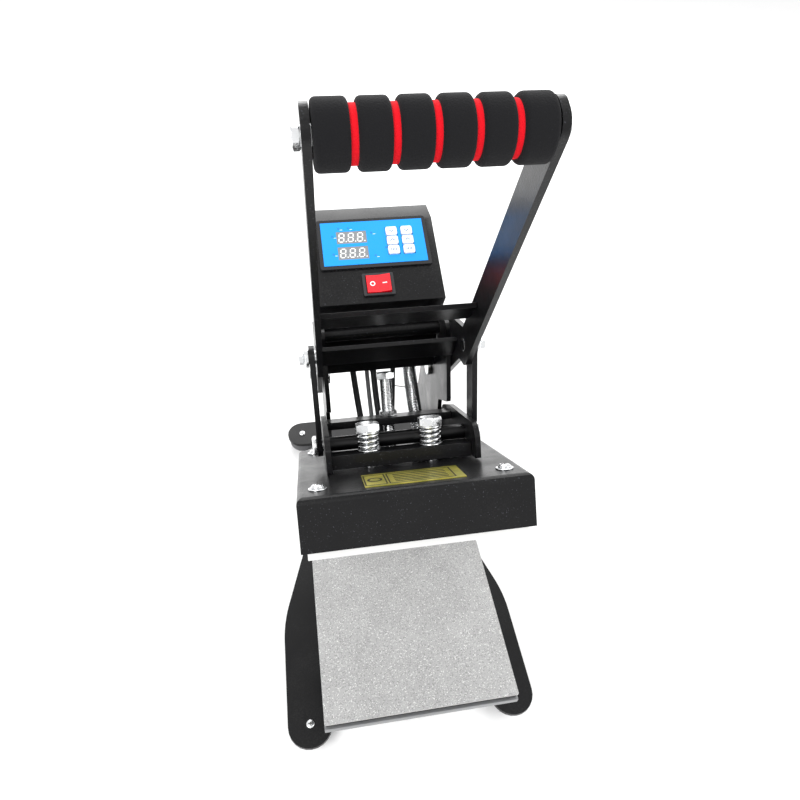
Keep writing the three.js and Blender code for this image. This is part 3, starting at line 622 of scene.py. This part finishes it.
class HeatPressSizes(bpy.types.PropertyGroup):
    """Sizes of the fine pieces."""

    foam_radius: bpy.props.FloatProperty(
        name="Foam radius", description="Outer radius of the grip's foam rings",
        default=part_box("foam_grip")[1].z / 2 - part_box("foam_grip")[0].z / 2, unit="LENGTH")
    foam_gap: bpy.props.FloatProperty(
        name="Ring gap", description="Width of the red band between two foam rings",
        default=0.0031, unit="LENGTH")
    spring_wire: bpy.props.FloatProperty(
        name="Spring wire", description="Radius of the pressure springs' wire", default=0.0014, unit="LENGTH")
    edge_round: bpy.props.FloatProperty(
        name="Edge rounding", description="Bevel on sheet metal edges", default=0.0004, unit="LENGTH")
    thread_pitch: bpy.props.FloatProperty(
        name="Thread pitch", description="Pitch of the long pressure bolt", default=0.00125, unit="LENGTH")


class HeatPressColours(bpy.types.PropertyGroup):
    """Colours of the main finishes."""

    coat: bpy.props.FloatVectorProperty(
        name="Coat", description="Black powder coat", subtype="COLOR",
        default=(0.0025, 0.0025, 0.003), min=0, max=1)
    foam: bpy.props.FloatVectorProperty(
        name="Foam", description="Grip foam", subtype="COLOR", default=(0.004, 0.004, 0.005), min=0, max=1)
    ring: bpy.props.FloatVectorProperty(
        name="Rings", description="Bands between the foam rings", subtype="COLOR",
        default=(0.72, 0.003, 0.012), min=0, max=1)
    panel: bpy.props.FloatVectorProperty(
        name="Panel", description="Control panel overlay", subtype="COLOR",
        default=(0.0, 0.30, 0.90), min=0, max=1)
    rocker: bpy.props.FloatVectorProperty(
        name="Rocker", description="Power switch", subtype="COLOR",
        default=(0.80, 0.004, 0.015), min=0, max=1)


# ---------------------------------------------------------------- camera, light and floor


def build_camera():
    """The camera, whose axes are its right, down and forward directions in the press's own axes."""
    right = Vector((0.9864, -0.1606, 0.0338))
    down = Vector((-0.0927, -0.7153, -0.6926))
    forward = Vector((0.1354, 0.6801, -0.7205))
    data = bpy.data.cameras.new("camera")
    data.sensor_width = 36
    data.lens = 28.41
    camera = bpy.data.objects.new("camera", data)
    axes = Matrix((right, -down, -forward)).transposed().to_4x4()
    camera.matrix_world = Matrix.Translation(Vector((-60.8, -339.4, 598.5)) * MM) @ axes
    bpy.context.scene.collection.objects.link(camera)
    bpy.context.scene.camera = camera


def build_light(name, place, target, size, watts):
    """A square soft light aimed at a point."""
    data = bpy.data.lights.new(name, "AREA")
    data.size = size
    data.energy = watts
    light = bpy.data.objects.new(name, data)
    aim = Vector(target) - Vector(place)
    light.rotation_euler = aim.to_track_quat("-Z", "Y").to_euler()
    light.location = place
    bpy.context.scene.collection.objects.link(light)


def build_floor():
    """A flat pale disc that reaches far past the press on every side."""
    reach = 40 / MM
    sides = 64
    angle = np.linspace(0, 2 * math.pi, sides, endpoint=False)
    points = np.stack([reach * np.cos(angle), reach * np.sin(angle), np.zeros(sides)], 1)
    floor = mesh_piece("floor", points, [range(sides)])
    made, tree, shader, vector = new_material("pale_floor", (0.92, 0.92, 0.92), 0.8)
    soft = use_group(tree, "smudges", vector, Size=0.6, Low=0.78, High=0.86)
    tree.links.new(soft["Value"], shader.inputs["Roughness"])
    floor.data.materials.append(made)
    floor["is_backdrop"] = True


def build_world():
    """An even white surround."""
    world = bpy.data.worlds.new("surround")
    world.use_nodes = True
    sky = world.node_tree.nodes["Background"]
    sky.inputs["Color"].default_value = (1.0, 1.0, 1.0, 1.0)
    sky.inputs["Strength"].default_value = 1.0
    bpy.context.scene.world = world
    bpy.context.scene.view_settings.view_transform = "Standard"


class HEATPRESS_OT_stage(bpy.types.Operator):
    """Add the camera, the soft lights, the white surround and the pale floor"""

    bl_idname = "heatpress.stage"
    bl_label = "Camera, light and floor"

    def execute(self, context):
        build_camera()
        build_world()
        build_floor()
        build_light("key_light", (-0.9, -0.9, 1.6), (0, 0, 0.2), 1.0, 22)
        build_light("fill_light", (1.2, -0.5, 0.9), (0, 0, 0.2), 1.0, 8)
        build_light("rear_light", (0.1, 1.5, 1.1), (0, 0, 0.2), 1.4, 22)
        return {"FINISHED"}


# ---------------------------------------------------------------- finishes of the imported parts

FLAT_EDGES = (
    "upright_left", "upright_right", "upright_web", "bracket_", "lever_left", "lever_right", "link_left",
    "link_right", "base_plate", "bed_pedestal", "upper_cross_plate", "lower_cross_plate",
    "control_box_cover", "bed_plate", "heated_platen", "silicone_pad", "display_panel", "switch_frame",
    "button_", "power_inlet",
)
ROUND_EDGES = (
    "foot_", "platen_pivot_shaft", "lever_pin_", "grip_tube", "elbow_bolt_", "link_bolt_", "link_rod",
)


class HEATPRESS_OT_finishes(bpy.types.Operator):
    """Give every part of the press its finish, and round the edges of sheet metal and turned parts"""

    bl_idname = "heatpress.finishes"
    bl_label = "Finishes and edges"

    def execute(self, context):
        width = context.scene.heat_press_sizes.edge_round
        slots = {row["node"]: row["material_slot"] for row in frame["record"]["subparts"]}
        other = {"display_panel": "bezel", "heated_platen": "platen"}
        for name, node in frame["nodes"].items():
            wear(node, other.get(name, slots[name]))
            if name.startswith(FLAT_EDGES):
                soften(node, width)
            elif name.startswith(ROUND_EDGES):
                soften(node, width, 3)
        return {"FINISHED"}


# ---------------------------------------------------------------- handle grip


def ring_profile(start, end, radius, bore, bend, steps=7):
    """Half outline of a ring with rounded shoulders, as a closed loop of [radius, place]."""
    turn = np.linspace(0, math.pi / 2, steps)
    front = [(radius - bend + bend * math.sin(t), start + bend - bend * math.cos(t)) for t in turn]
    back = [(radius - bend + bend * math.cos(t), end - bend + bend * math.sin(t)) for t in turn]
    return [(bore, start), *front, *back, (bore, end)]


FOAM_BORE = 5.6
FOAM_SHOULDER = 2.4  # rounding at the rings' rims
BAND_DROP = 2.7  # how far the bands lie below the rings
BAND_SHOULDER = 0.6
BAND_TUCK = 1.2  # how far a band runs in under the ring beside it
INNER_RING = 14.2  # width of the four rings between the outer two


class HEATPRESS_OT_grip(bpy.types.Operator):
    """Build the foam rings of the handle with the red bands between them"""

    bl_idname = "heatpress.grip"
    bl_label = "Foam grip"

    def execute(self, context):
        sizes = context.scene.heat_press_sizes
        low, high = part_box("foam_grip")
        length = (high.x - low.x) / MM
        radius = sizes.foam_radius / MM
        gap = sizes.foam_gap / MM
        outer = (length - 5 * gap - 4 * INNER_RING) / 2
        start = -length / 2
        for k, width in enumerate([outer, *[INNER_RING] * 4, outer]):
            end = start + width
            profile = ring_profile(start, end, radius, FOAM_BORE, FOAM_SHOULDER)
            ring = grip_ring(f"foam_ring_{k + 1}", profile)
            roughen_foam(ring, k)
            new_piece(ring, "grip_foam", "handle")
            if k == 0:
                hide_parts("foam_grip")
            if k < 5:
                profile = ring_profile(
                    end - BAND_TUCK, end + gap + BAND_TUCK, radius - BAND_DROP, FOAM_BORE, BAND_SHOULDER)
                band = grip_ring(f"red_band_{k + 1}", profile)
                new_piece(band, "ring_red", "handle")
            start = end + gap
        return {"FINISHED"}


def grip_ring(name, profile):
    """A closed profile turned about the grip's axis."""
    return turned_piece(name, profile, at=(0, *GRIP), sides=72, along="X", closed=True)


def roughen_foam(ring, seed):
    """Slightly uneven cut foam: the radius shrinks by up to 0.24 mm in waves of sin(3a) and sin(7a)."""
    count = len(ring.data.vertices)
    co = np.zeros(count * 3)
    ring.data.vertices.foreach_get("co", co)
    co = co.reshape(-1, 3)
    out = co[:, 1:] - np.array(GRIP) * MM
    reach = np.linalg.norm(out, axis=1)
    angle = np.arctan2(out[:, 1], out[:, 0])
    wave = 0.00008 * np.sin(3 * angle + 1.7 * seed) + 0.00004 * np.sin(7 * angle + seed) - 0.00012
    scale = np.where(reach > 0.008, 1 + wave / np.maximum(reach, 0.001), 1)
    co[:, 1:] = np.array(GRIP) * MM + out * scale[:, None]
    ring.data.vertices.foreach_set("co", co.ravel())
    ring.data.update()


# ---------------------------------------------------------------- bolts, springs, washers and screws


def hex_radius(a):
    """Scale that turns a circle into the hexagon round it: 1 / cos(angle from the nearest flat)."""
    wedge = (a + math.pi / 6) % (math.pi / 3) - math.pi / 6
    return 1 / np.cos(wedge)


def hex_head(name, across, height, place, at, body, chamfer=1.0, key="zinc"):
    """Hexagon head or nut: a 30 degree cone cuts the hexagon at both ends, so its corners are rounded off."""
    half = across / 2
    steep = math.tan(math.radians(30))

    def cut_by_cone(a, h):
        end = np.minimum(h, height - h)
        cone = (half - 0.2 + (end + 1e-6) / steep) / half
        return np.minimum(hex_radius(a), cone)

    levels = np.concatenate([np.linspace(0, chamfer, 5), np.linspace(height - chamfer, height, 5)])
    profile = [(half * 0.55, 0), *[(half, float(h)) for h in levels], (half * 0.55, height)]
    head = turned_piece(name, profile, place, at, 72, radius_at=cut_by_cone)
    head.data.polygons.foreach_set("use_smooth", [False] * len(head.data.polygons))
    return new_piece(head, key, body)


def threaded_rod(name, radius, low, high, pitch, place, at, body):
    """Thread: radius * (1 - depth + depth * triangle wave of (angle / turn - height / pitch))."""
    rows = int((high - low) / pitch * 6)
    profile = [(radius, float(h)) for h in np.linspace(low, high, rows)]
    depth = 0.045

    def thread(a, h):
        phase = (a / (2 * math.pi) - h / pitch) % 1.0
        return 1 - depth + depth * (1 - np.abs(2 * phase - 1))

    rod = turned_piece(name, profile, place, at, 24, radius_at=thread)
    return new_piece(rod, "zinc", body)


def washer(name, outer, inner, low, high, place, at, body):
    """Flat ring with softened rims."""
    edge = (high - low) * 0.25
    profile = [
        (inner, low), (outer - edge, low), (outer, low + edge),
        (outer, high - edge), (outer - edge, high), (inner, high),
    ]
    return new_piece(turned_piece(name, profile, place, at, 40, closed=True), "zinc", body)


def coil(name, radius, wire, low, high, turns, place, at, body, replaced):
    """Compression spring: a helix whose first and last half turns lie flat."""
    count = int(turns * 36)
    t = np.linspace(0, 1, count)
    flat = 0.5 / turns
    rise = np.clip((t - flat) / (1 - 2 * flat), 0, 1)
    rise = rise * 0.92 + 0.08 * t
    angle = 2 * math.pi * turns * t
    height = low + wire + rise * (high - low - 2 * wire)
    path = np.stack([radius * np.cos(angle), radius * np.sin(angle), height], 1)
    spring = tube_piece(name, path + np.array(at), wire, place, 14)
    new_piece(spring, "zinc", body)
    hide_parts(replaced)


def pan_screw(name, radius, height, place, at, body):
    """Domed screw head: radius * cos t by height * (1 + 3 sin t) / 4, with a dark cross laid on its top as
    painted shade of the cross recess.
    """
    t = np.linspace(0.12, math.pi / 2 - 0.05, 8)
    dome = [(radius * math.cos(s), height * (0.25 + 0.75 * math.sin(s))) for s in t]
    head = turned_piece(name, [(radius, 0.0), (radius, height * 0.25), *dome], place, at, 32)
    new_piece(head, "zinc", body)
    top = at[2] + height
    reach, width = radius * 0.95, radius * 0.22
    # Two thin dark bars on the dome paint the shade of the cross recess; no recess is cut.
    recess = slab_piece(name + "_recess_shade", [rectangle(*at[:2], reach, width)], top - 0.15, top + 0.03, place)
    other = slab_piece(name + "_slot", [rectangle(*at[:2], width, reach)], top - 0.15, top + 0.028, place)
    for piece in (recess, other):
        new_piece(piece, "print_and_shade_black", body)


SPRING_HEAD = {"across": 16.6, "height": 6.4}
SPRING_SHANK = {"radius": 4.9, "low": 12}
SPRING_OUTER = 8.2
WASHER_OUTER, WASHER_INNER, WASHER_THICKNESS = 8.6, 5.3, 1.3
PRESSURE_HEAD = {"across": 13.8, "height": 5.6}
LOCK_NUT = {"across": 14, "height": 4.6, "low": 62.2}
SEAT_GAP = 0.05  # air between the pieces stacked on a sprung bolt


class HEATPRESS_OT_pressure_parts(bpy.types.Operator):
    """Build the spring bolts, their springs and washers, and the long threaded pressure bolt"""

    bl_idname = "heatpress.pressure_parts"
    bl_label = "Springs and bolts"

    def execute(self, context):
        sizes = context.scene.heat_press_sizes
        for side, sign in SIDES:
            self.build_sprung_bolt(side, (sign * SPRING_BOLT[0], SPRING_BOLT[1]), sizes.spring_wire / MM)
        spot = (0, PRESSURE_BOLT_U)
        low = PRESSURE_BOLT_TOP - PRESSURE_HEAD["height"]
        head = hex_head("pressure_bolt_head", **PRESSURE_HEAD, place=ARM, at=(*spot, low),
                        body="pressure_bolt")
        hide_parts("pressure_bolt")
        threaded_rod("pressure_bolt_thread", 5, HOUSING_HEIGHT + 0.4, low + 0.1, sizes.thread_pitch / MM, ARM,
                     (*spot, 0), "pressure_bolt")
        hex_head("pressure_lock_nut", LOCK_NUT["across"], LOCK_NUT["height"], ARM, (*spot, LOCK_NUT["low"]),
                 "pressure_bolt", 0.8)
        return {"FINISHED"}

    def build_sprung_bolt(self, side, spot, wire):
        """One bolt with its shank, two washers and the spring between them."""
        at = (*spot, 0)
        under_head = BOLT_HEAD_TOP - SPRING_HEAD["height"]
        head = hex_head(f"spring_bolt_head_{side}", **SPRING_HEAD, place=ARM, at=(*spot, under_head),
                        body="platen_arm")
        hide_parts(f"spring_bolt_{side}")
        shank = [(SPRING_SHANK["radius"], SPRING_SHANK["low"]), (SPRING_SHANK["radius"], under_head + 0.3)]
        new_piece(turned_piece(f"spring_bolt_shank_{side}", shank, ARM, at, 32), "zinc", "platen_arm")
        seat = FRONT_BAR_TOP + WASHER_THICKNESS
        collar = under_head - WASHER_THICKNESS - SEAT_GAP
        for name, low, high in (
            (f"spring_seat_{side}", FRONT_BAR_TOP + SEAT_GAP, seat),
            (f"spring_collar_{side}", collar, under_head - SEAT_GAP),
        ):
            washer(name, WASHER_OUTER, WASHER_INNER, low, high, ARM, at, "platen_arm")
        coil(f"pressure_coil_{side}", SPRING_OUTER - wire, wire, seat + SEAT_GAP, collar - SEAT_GAP, 3.3, ARM,
             at, "platen_arm", f"pressure_spring_{side}")


HOUSING_SCREWS = {"x": (-63.5, 63.5), "u": (20, 137)}
BOX_SCREWS = ((92, 272), (146, 272))
UPRIGHT_BOLTS = ((32, 36), (100, 36))
SIDE_FACE = 51  # outer face of the uprights and of the control box
PIVOT_HEAD_FACE = 61.3


def facing_out(sign, out, y, z):
    """Axes at a point of one side whose Z points away from the press."""
    return Matrix.Translation((sign * out, y, z)) @ Matrix.Rotation(sign * math.pi / 2, 4, "Y")


class HEATPRESS_OT_fasteners(bpy.types.Operator):
    """Build the screws of the housing, feet and control box, and the nuts on the grip and the pivots"""

    bl_idname = "heatpress.fasteners"
    bl_label = "Screws and nuts"

    def execute(self, context):
        origin = (0, 0, 0)
        washer_top = HOUSING_HEIGHT + 0.9
        for i, x in enumerate(HOUSING_SCREWS["x"]):
            for j, u in enumerate(HOUSING_SCREWS["u"]):
                name = f"housing_screw_{i}{j}"
                washer(name + "_washer", 6.2, 2.4, HOUSING_HEIGHT + 0.02, washer_top, ARM, (x, u, 0),
                       "platen_arm")
                pan_screw(name, 4.4, 2.8, ARM, (x, u, washer_top), "platen_arm")
        for k, spot in enumerate(FEET):
            pan_screw(f"foot_screw_{k}", 3.6, 2.0, WORLD, (*spot, BASE_TOP), "frame")
        for side, sign in SIDES:
            for label, spot, out, across in (("grip_nut", GRIP, 56.2, 10), ("elbow_nut", ELBOW, 64.8, 9)):
                hex_head(f"{label}_{side}", across, 3.6, facing_out(sign, out, *spot), origin, "handle", 0.6)
            # Thin black hexagons on the pivot heads are painted shade of their hex sockets.
            for label, spot in (("lever_pivot", LEVER_PIVOT), ("platen_pivot", PLATEN_PIVOT[1:])):
                place = facing_out(sign, PIVOT_HEAD_FACE, *spot)
                hex_head(f"{label}_socket_shade_{side}", 7, 0.5, place, origin, "frame", 0.2, "print_and_shade_black")
        for side, sign in SIDES:
            for k, spot in enumerate(BOX_SCREWS):
                place = facing_out(sign, SIDE_FACE, *spot)
                pan_screw(f"box_screw_{side}_{k}", 2.8, 1.5, place, origin, "frame")
            for k, spot in enumerate(UPRIGHT_BOLTS):
                place = facing_out(sign, SIDE_FACE, *spot)
                hex_head(f"upright_bolt_{side}_{k}", 9, 3.2, place, origin, "frame", 0.6)
        return {"FINISHED"}


# ---------------------------------------------------------------- control panel


def pierced_sheet(name, x_cuts, s_cuts, holes, low, high, place):
    """A flat sheet made of the cells between the cuts, leaving out those whose middle falls in a hole."""
    outlines = []
    for x0, x1 in zip(x_cuts[:-1], x_cuts[1:]):
        for s0, s1 in zip(s_cuts[:-1], s_cuts[1:]):
            middle = ((x0 + x1) / 2, (s0 + s1) / 2)
            inside = any(abs(middle[0] - x) < w / 2 and abs(middle[1] - s) < h / 2 for x, s, w, h in holes)
            if not inside:
                outlines.append([(x0, s0), (x1, s0), (x1, s1), (x0, s1)])
    return slab_piece(name, outlines, low, high, place)


SEGMENTS = [((-1, 2), (1, 2)), ((1, 2), (1, 0)), ((1, 0), (1, -2)), ((1, -2), (-1, -2)), ((-1, -2), (-1, 0)),
            ((-1, 0), (-1, 2)), ((-1, 0), (1, 0))]


def digit_outlines(x, s, width, height):
    """The seven bars and the point of one leaning digit."""
    lean = 0.12
    outlines = []
    for (ax, ay), (bx, by) in SEGMENTS:
        a = np.array((x + ax * width / 2 + lean * ay * height / 4, s + ay * height / 4))
        b = np.array((x + bx * width / 2 + lean * by * height / 4, s + by * height / 4))
        gap = (b - a) * 0.14
        outlines.append(stroke(a + gap, b - gap, 0.95))
    dot = x + width / 2 + 1.6
    outlines.append(rectangle(dot, s - height / 2 + 0.2, 1.0, 1.0))
    return outlines


def build_overlay():
    """The blue overlay with openings for the two displays and the six buttons."""
    top = PANEL["top"]
    displays = [(-18, 60.5, 24.6, 11.6), (-18, 45.6, 24.6, 12.0)]
    w, h = BUTTON_SIZE[0] + 0.6, BUTTON_SIZE[1] + 0.6
    buttons = [(x, s, w, h) for x in BUTTON_COLUMNS.values() for s in BUTTON_ROWS.values()]
    holes = displays + buttons
    rims = [(PANEL["x"], PANEL["s"], PANEL["width"], PANEL["height"]), *holes]
    x_cuts = sorted({x + k * w / 2 for x, _, w, _ in rims for k in (-1, 1)})
    s_cuts = sorted({s + k * h / 2 for _, s, _, h in rims for k in (-1, 1)})
    overlay = pierced_sheet("panel_overlay", x_cuts, s_cuts, holes, top + 0.02, top + 0.32, FACE)
    new_piece(overlay, "panel_blue", "frame")
    for k, (x, s, width, height) in enumerate(displays):
        pane = rectangle(x, s, width - 0.1, height - 0.1)
        window = slab_piece(f"display_window_{k}", [pane], top + 0.02, top + 0.26, FACE)
        new_piece(window, "display", "frame")
        bars = [bar for n in (-1, 0, 1) for bar in digit_outlines(x + n * 7.6 - 0.6, s, 3.9, 8.0)]
        digits = slab_piece(f"display_digits_{k}", bars, top + 0.27, top + 0.34, FACE)
        new_piece(digits, "segment", "frame")


def build_panel_marks():
    """Small lamp rings and dashes beside the displays, on the overlay."""
    top = PANEL["top"] + 0.33
    lamps = [(-33.5, 62), (-28, 69.5), (-20, 69.5), (-1.5, 64), (-34, 45), (-0.5, 42), (9, 49)]
    rings = [outline for x, s in lamps for outline in ring_outlines(x, s, 0.8, 0.45, 12)]
    dashes = [stroke((x + 1.2, s - 1.4), (x + 3.2, s - 1.4), 0.4) for x, s in lamps]
    new_piece(slab_piece("panel_lamps", rings, top, top + 0.05, FACE), "print_blue", "frame")
    new_piece(slab_piece("panel_dashes", dashes, top, top + 0.04, FACE), "mark_white", "frame")


def build_button_marks():
    """A chevron on the upper buttons of each column and a short row of bars on the lowest."""
    top = BUTTON_TOP
    for column, x in BUTTON_COLUMNS.items():
        for row, s in BUTTON_ROWS.items():
            if row == "bottom":
                places = [x + k * 1.3 for k in (-1.5, -0.5, 0.5, 1.5)]
                bars = [stroke((place, s - 1.0), (place, s + 1.0), 0.55) for place in places]
            else:
                way = -1 if row == "top" else 1
                tip = (x, s + way * 1.1)
                foot = s - way * 0.8
                bars = [stroke((x - 1.9, foot), tip, 0.6), stroke(tip, (x + 1.9, foot), 0.6)]
            piece = slab_piece(f"button_mark_{column}_{row}", bars, top + 0.01, top + 0.08, FACE)
            new_piece(piece, "print_blue", f"button_{column}_{row}")


def build_rocker_marks():
    """The ring and the dash moulded into the two halves of the rocker."""
    x, s = SWITCH["x"], SWITCH["s"]
    base = 0.4
    left = slab_piece("rocker_ring", ring_outlines(x - 4.8, s, 2.1, 1.3, 24), base + 2.35, base + 2.62, FACE)
    new_piece(left, "mark_white", "rocker")
    tilt = Matrix.Translation((x + 4.9, s, base + 3.06)) @ Matrix.Rotation(-math.atan2(1.9, 9.5), 4, "Y")
    right = slab_piece("rocker_dash", [rectangle(0, 0, 3.6, 0.9)], -0.1, 0.12, FACE @ tilt)
    new_piece(right, "mark_white", "rocker")


class HEATPRESS_OT_panel(bpy.types.Operator):
    """Build the blue overlay, the displays with their digits, and the marks on buttons and switch"""

    bl_idname = "heatpress.panel"
    bl_label = "Control panel"

    def execute(self, context):
        build_overlay()
        build_panel_marks()
        build_button_marks()
        build_rocker_marks()
        return {"FINISHED"}


class HEATPRESS_OT_label(bpy.types.Operator):
    """Print plain bars and boxes on the gold foil label of the housing"""

    bl_idname = "heatpress.label"
    bl_label = "Foil label"

    def execute(self, context):
        low = HOUSING_HEIGHT + 0.46
        bars = []
        near, far = 13, 39
        for left, right in ((-32, -18), (-16, 28)):
            bars += [stroke((left, u), (right, u), 0.9) for u in (near, far)]
            bars += [stroke((x, near), (x, far), 0.9) for x in (left, right)]
        bars += [stroke((-12, s), (24, s), 1.5) for s in (34.5, 30, 25.5, 21, 17)]
        bars += ring_outlines(-25, 26, 5.2, 3.6, 24)
        piece = slab_piece("label_print", bars, low, low + 0.05, ARM)
        new_piece(piece, "print_and_shade_black", "platen_arm")
        return {"FINISHED"}


# ---------------------------------------------------------------- leads

# Profiles of the two bushings of a lead, as [distance outside the lead, height].
GLAND = [(0.3, -4.5), (1.6, -4.0), (2.2, -1.2), (2.2, 0.2)]
COLLAR = [(1.9, 0.0), (1.9, 1.0), (1.2, 2.4), (0.3, 2.8)]

LEAD_TOP = 261.6
LEAD_HEIGHT = 18
# Each lead's radius, its finish, its top and its hip in X and Y, and the X of its knee and of its low end.
LEADS = {
    "heater_lead_left": (2.7, "cable_black", (-27, 78), ((-25, 74), -22, -18)),
    "sensor_lead": (1.9, "cable_grey", (-13, 78), ((-12, 74), -11, -9.5)),
    "heater_lead_right": (2.7, "cable_black", (-6, 78), ((-6, 74), -5, -2)),
    "earth_lead": (2.2, "cable_black", (14, 78), ((13, 74), 10, 5)),
    "armoured_lead": (6.1, "conduit", (25, 83), ((26, 79), 28, 32)),
}

WINDING = {"depth": 0.28, "pitch": 2.2}  # ridges of the armour

# A thin wire that sags from the floor of the box to the armoured lead.
SENSOR_WIRE = [(-21, 76, 262), (-19, 73, 240), (-17, 70, 227), (-11, 67, 214), (3, 60, 200), (22, 56, 196)]


def in_press(x, u, v):
    """A point of the platen arm's own axes, where it stands with the press open."""
    return tuple(ARM @ Vector((x, u, v)))


def lead_path(top, hip, knee, low):
    """The lead's way from the floor of the box to the rear wall of the housing."""
    points = [
        (*top, LEAD_TOP + 1),
        (*top, LEAD_TOP - 6),
        (*hip, 226),
        (knee, 52, 192),
        in_press(low, HOUSING_SIZE + 14, LEAD_HEIGHT + 12),
        in_press(low, HOUSING_SIZE + 5, LEAD_HEIGHT),
        in_press(low, HOUSING_SIZE - 1, LEAD_HEIGHT),
    ]
    return smooth_path(points, 90)


class HEATPRESS_OT_leads(bpy.types.Operator):
    """Build the sleeved leads and the wound armour between the control box and the heater housing"""

    bl_idname = "heatpress.leads"
    bl_label = "Leads"

    def execute(self, context):
        for name, (radius, key, top, (hip, knee, low)) in LEADS.items():
            path = lead_path(top, hip, knee, low)
            thick = radius
            if key == "conduit":
                path = smooth_path(path[::3], 420)
                way = np.concatenate([[0], np.cumsum(np.linalg.norm(np.diff(path, axis=0), axis=1))])
                thick = radius + WINDING["depth"] * np.sin(2 * math.pi * way / WINDING["pitch"])
            lead = tube_piece(name + "_sleeve", path, thick, sides=20)
            wear(lead, key)
            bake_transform(lead)
            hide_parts(name)
            profile = [(radius + out, height) for out, height in GLAND]
            gland = turned_piece(name + "_gland", profile, at=(*top, LEAD_TOP + 0.3), sides=32)
            new_piece(gland, "switch_black", "frame")
            rear_wall = ARM @ Matrix.Translation((low, HOUSING_SIZE, LEAD_HEIGHT))
            place = rear_wall @ Matrix.Rotation(-math.pi / 2, 4, "X")
            profile = [(radius + out, height) for out, height in COLLAR]
            collar = turned_piece(name + "_collar", profile, place, sides=32)
            new_piece(collar, "switch_black", "platen_arm")
        path = smooth_path(SENSOR_WIRE, 60)
        wire = tube_piece("sensor_wire", path, 0.45, sides=10)
        wear(wire, "cable_black")
        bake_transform(wire)
        return {"FINISHED"}


# ---------------------------------------------------------------- the box's rear


class HEATPRESS_OT_rear_parts(bpy.types.Operator):
    """Build the three blades of the mains inlet at the rear of the control box"""

    bl_idname = "heatpress.rear_parts"
    bl_label = "Inlet blades"

    def execute(self, context):
        upright = Matrix.Rotation(math.pi / 2, 4, "X")
        for k, (x, z) in enumerate(((-6, 282), (6, 282), (0, 286.5))):
            blade = slab_piece(f"inlet_blade_{k}", [rectangle(x, z, 1.6, 5.0)], -157, -145, upright)
            new_piece(blade, "zinc", "frame")
        return {"FINISHED"}


# ---------------------------------------------------------------- panel, registration and main

PIECES = (
    HEATPRESS_OT_stage,
    HEATPRESS_OT_finishes,
    HEATPRESS_OT_grip,
    HEATPRESS_OT_pressure_parts,
    HEATPRESS_OT_fasteners,
    HEATPRESS_OT_panel,
    HEATPRESS_OT_label,
    HEATPRESS_OT_leads,
    HEATPRESS_OT_rear_parts,
)


class HEATPRESS_PT_sidebar(bpy.types.Panel):
    """Lists the pieces of the press and the values that shape them"""

    bl_idname = "HEATPRESS_PT_sidebar"
    bl_label = "Heat Press"
    bl_space_type = "VIEW_3D"
    bl_region_type = "UI"
    bl_category = "Heat Press"

    def draw(self, context):
        for group in (context.scene.heat_press_sizes, context.scene.heat_press_colours):
            for label in group.bl_rna.properties.keys():
                if label not in ("rna_type", "name"):
                    self.layout.prop(group, label)
        for operator in PIECES:
            self.layout.operator(operator.bl_idname)


CLASSES = (HeatPressSizes, HeatPressColours, *PIECES, HEATPRESS_PT_sidebar)


def register():
    for cls in CLASSES:
        bpy.utils.register_class(cls)
    bpy.types.Scene.heat_press_sizes = bpy.props.PointerProperty(type=HeatPressSizes)
    bpy.types.Scene.heat_press_colours = bpy.props.PointerProperty(type=HeatPressColours)


def unregister():
    del bpy.types.Scene.heat_press_colours
    del bpy.types.Scene.heat_press_sizes
    for cls in reversed(CLASSES):
        bpy.utils.unregister_class(cls)


def main():
    """Registers the add-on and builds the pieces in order."""
    register()
    for operator in PIECES:
        group, name = operator.bl_idname.split(".")
        getattr(getattr(bpy.ops, group), name)()
    boxes = {"cad": CAD_BOUNDS, "visual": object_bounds()}
    boxes = {name: [list(corner) for corner in corners] for name, corners in boxes.items()}


if __name__ == "__main__":
    main()
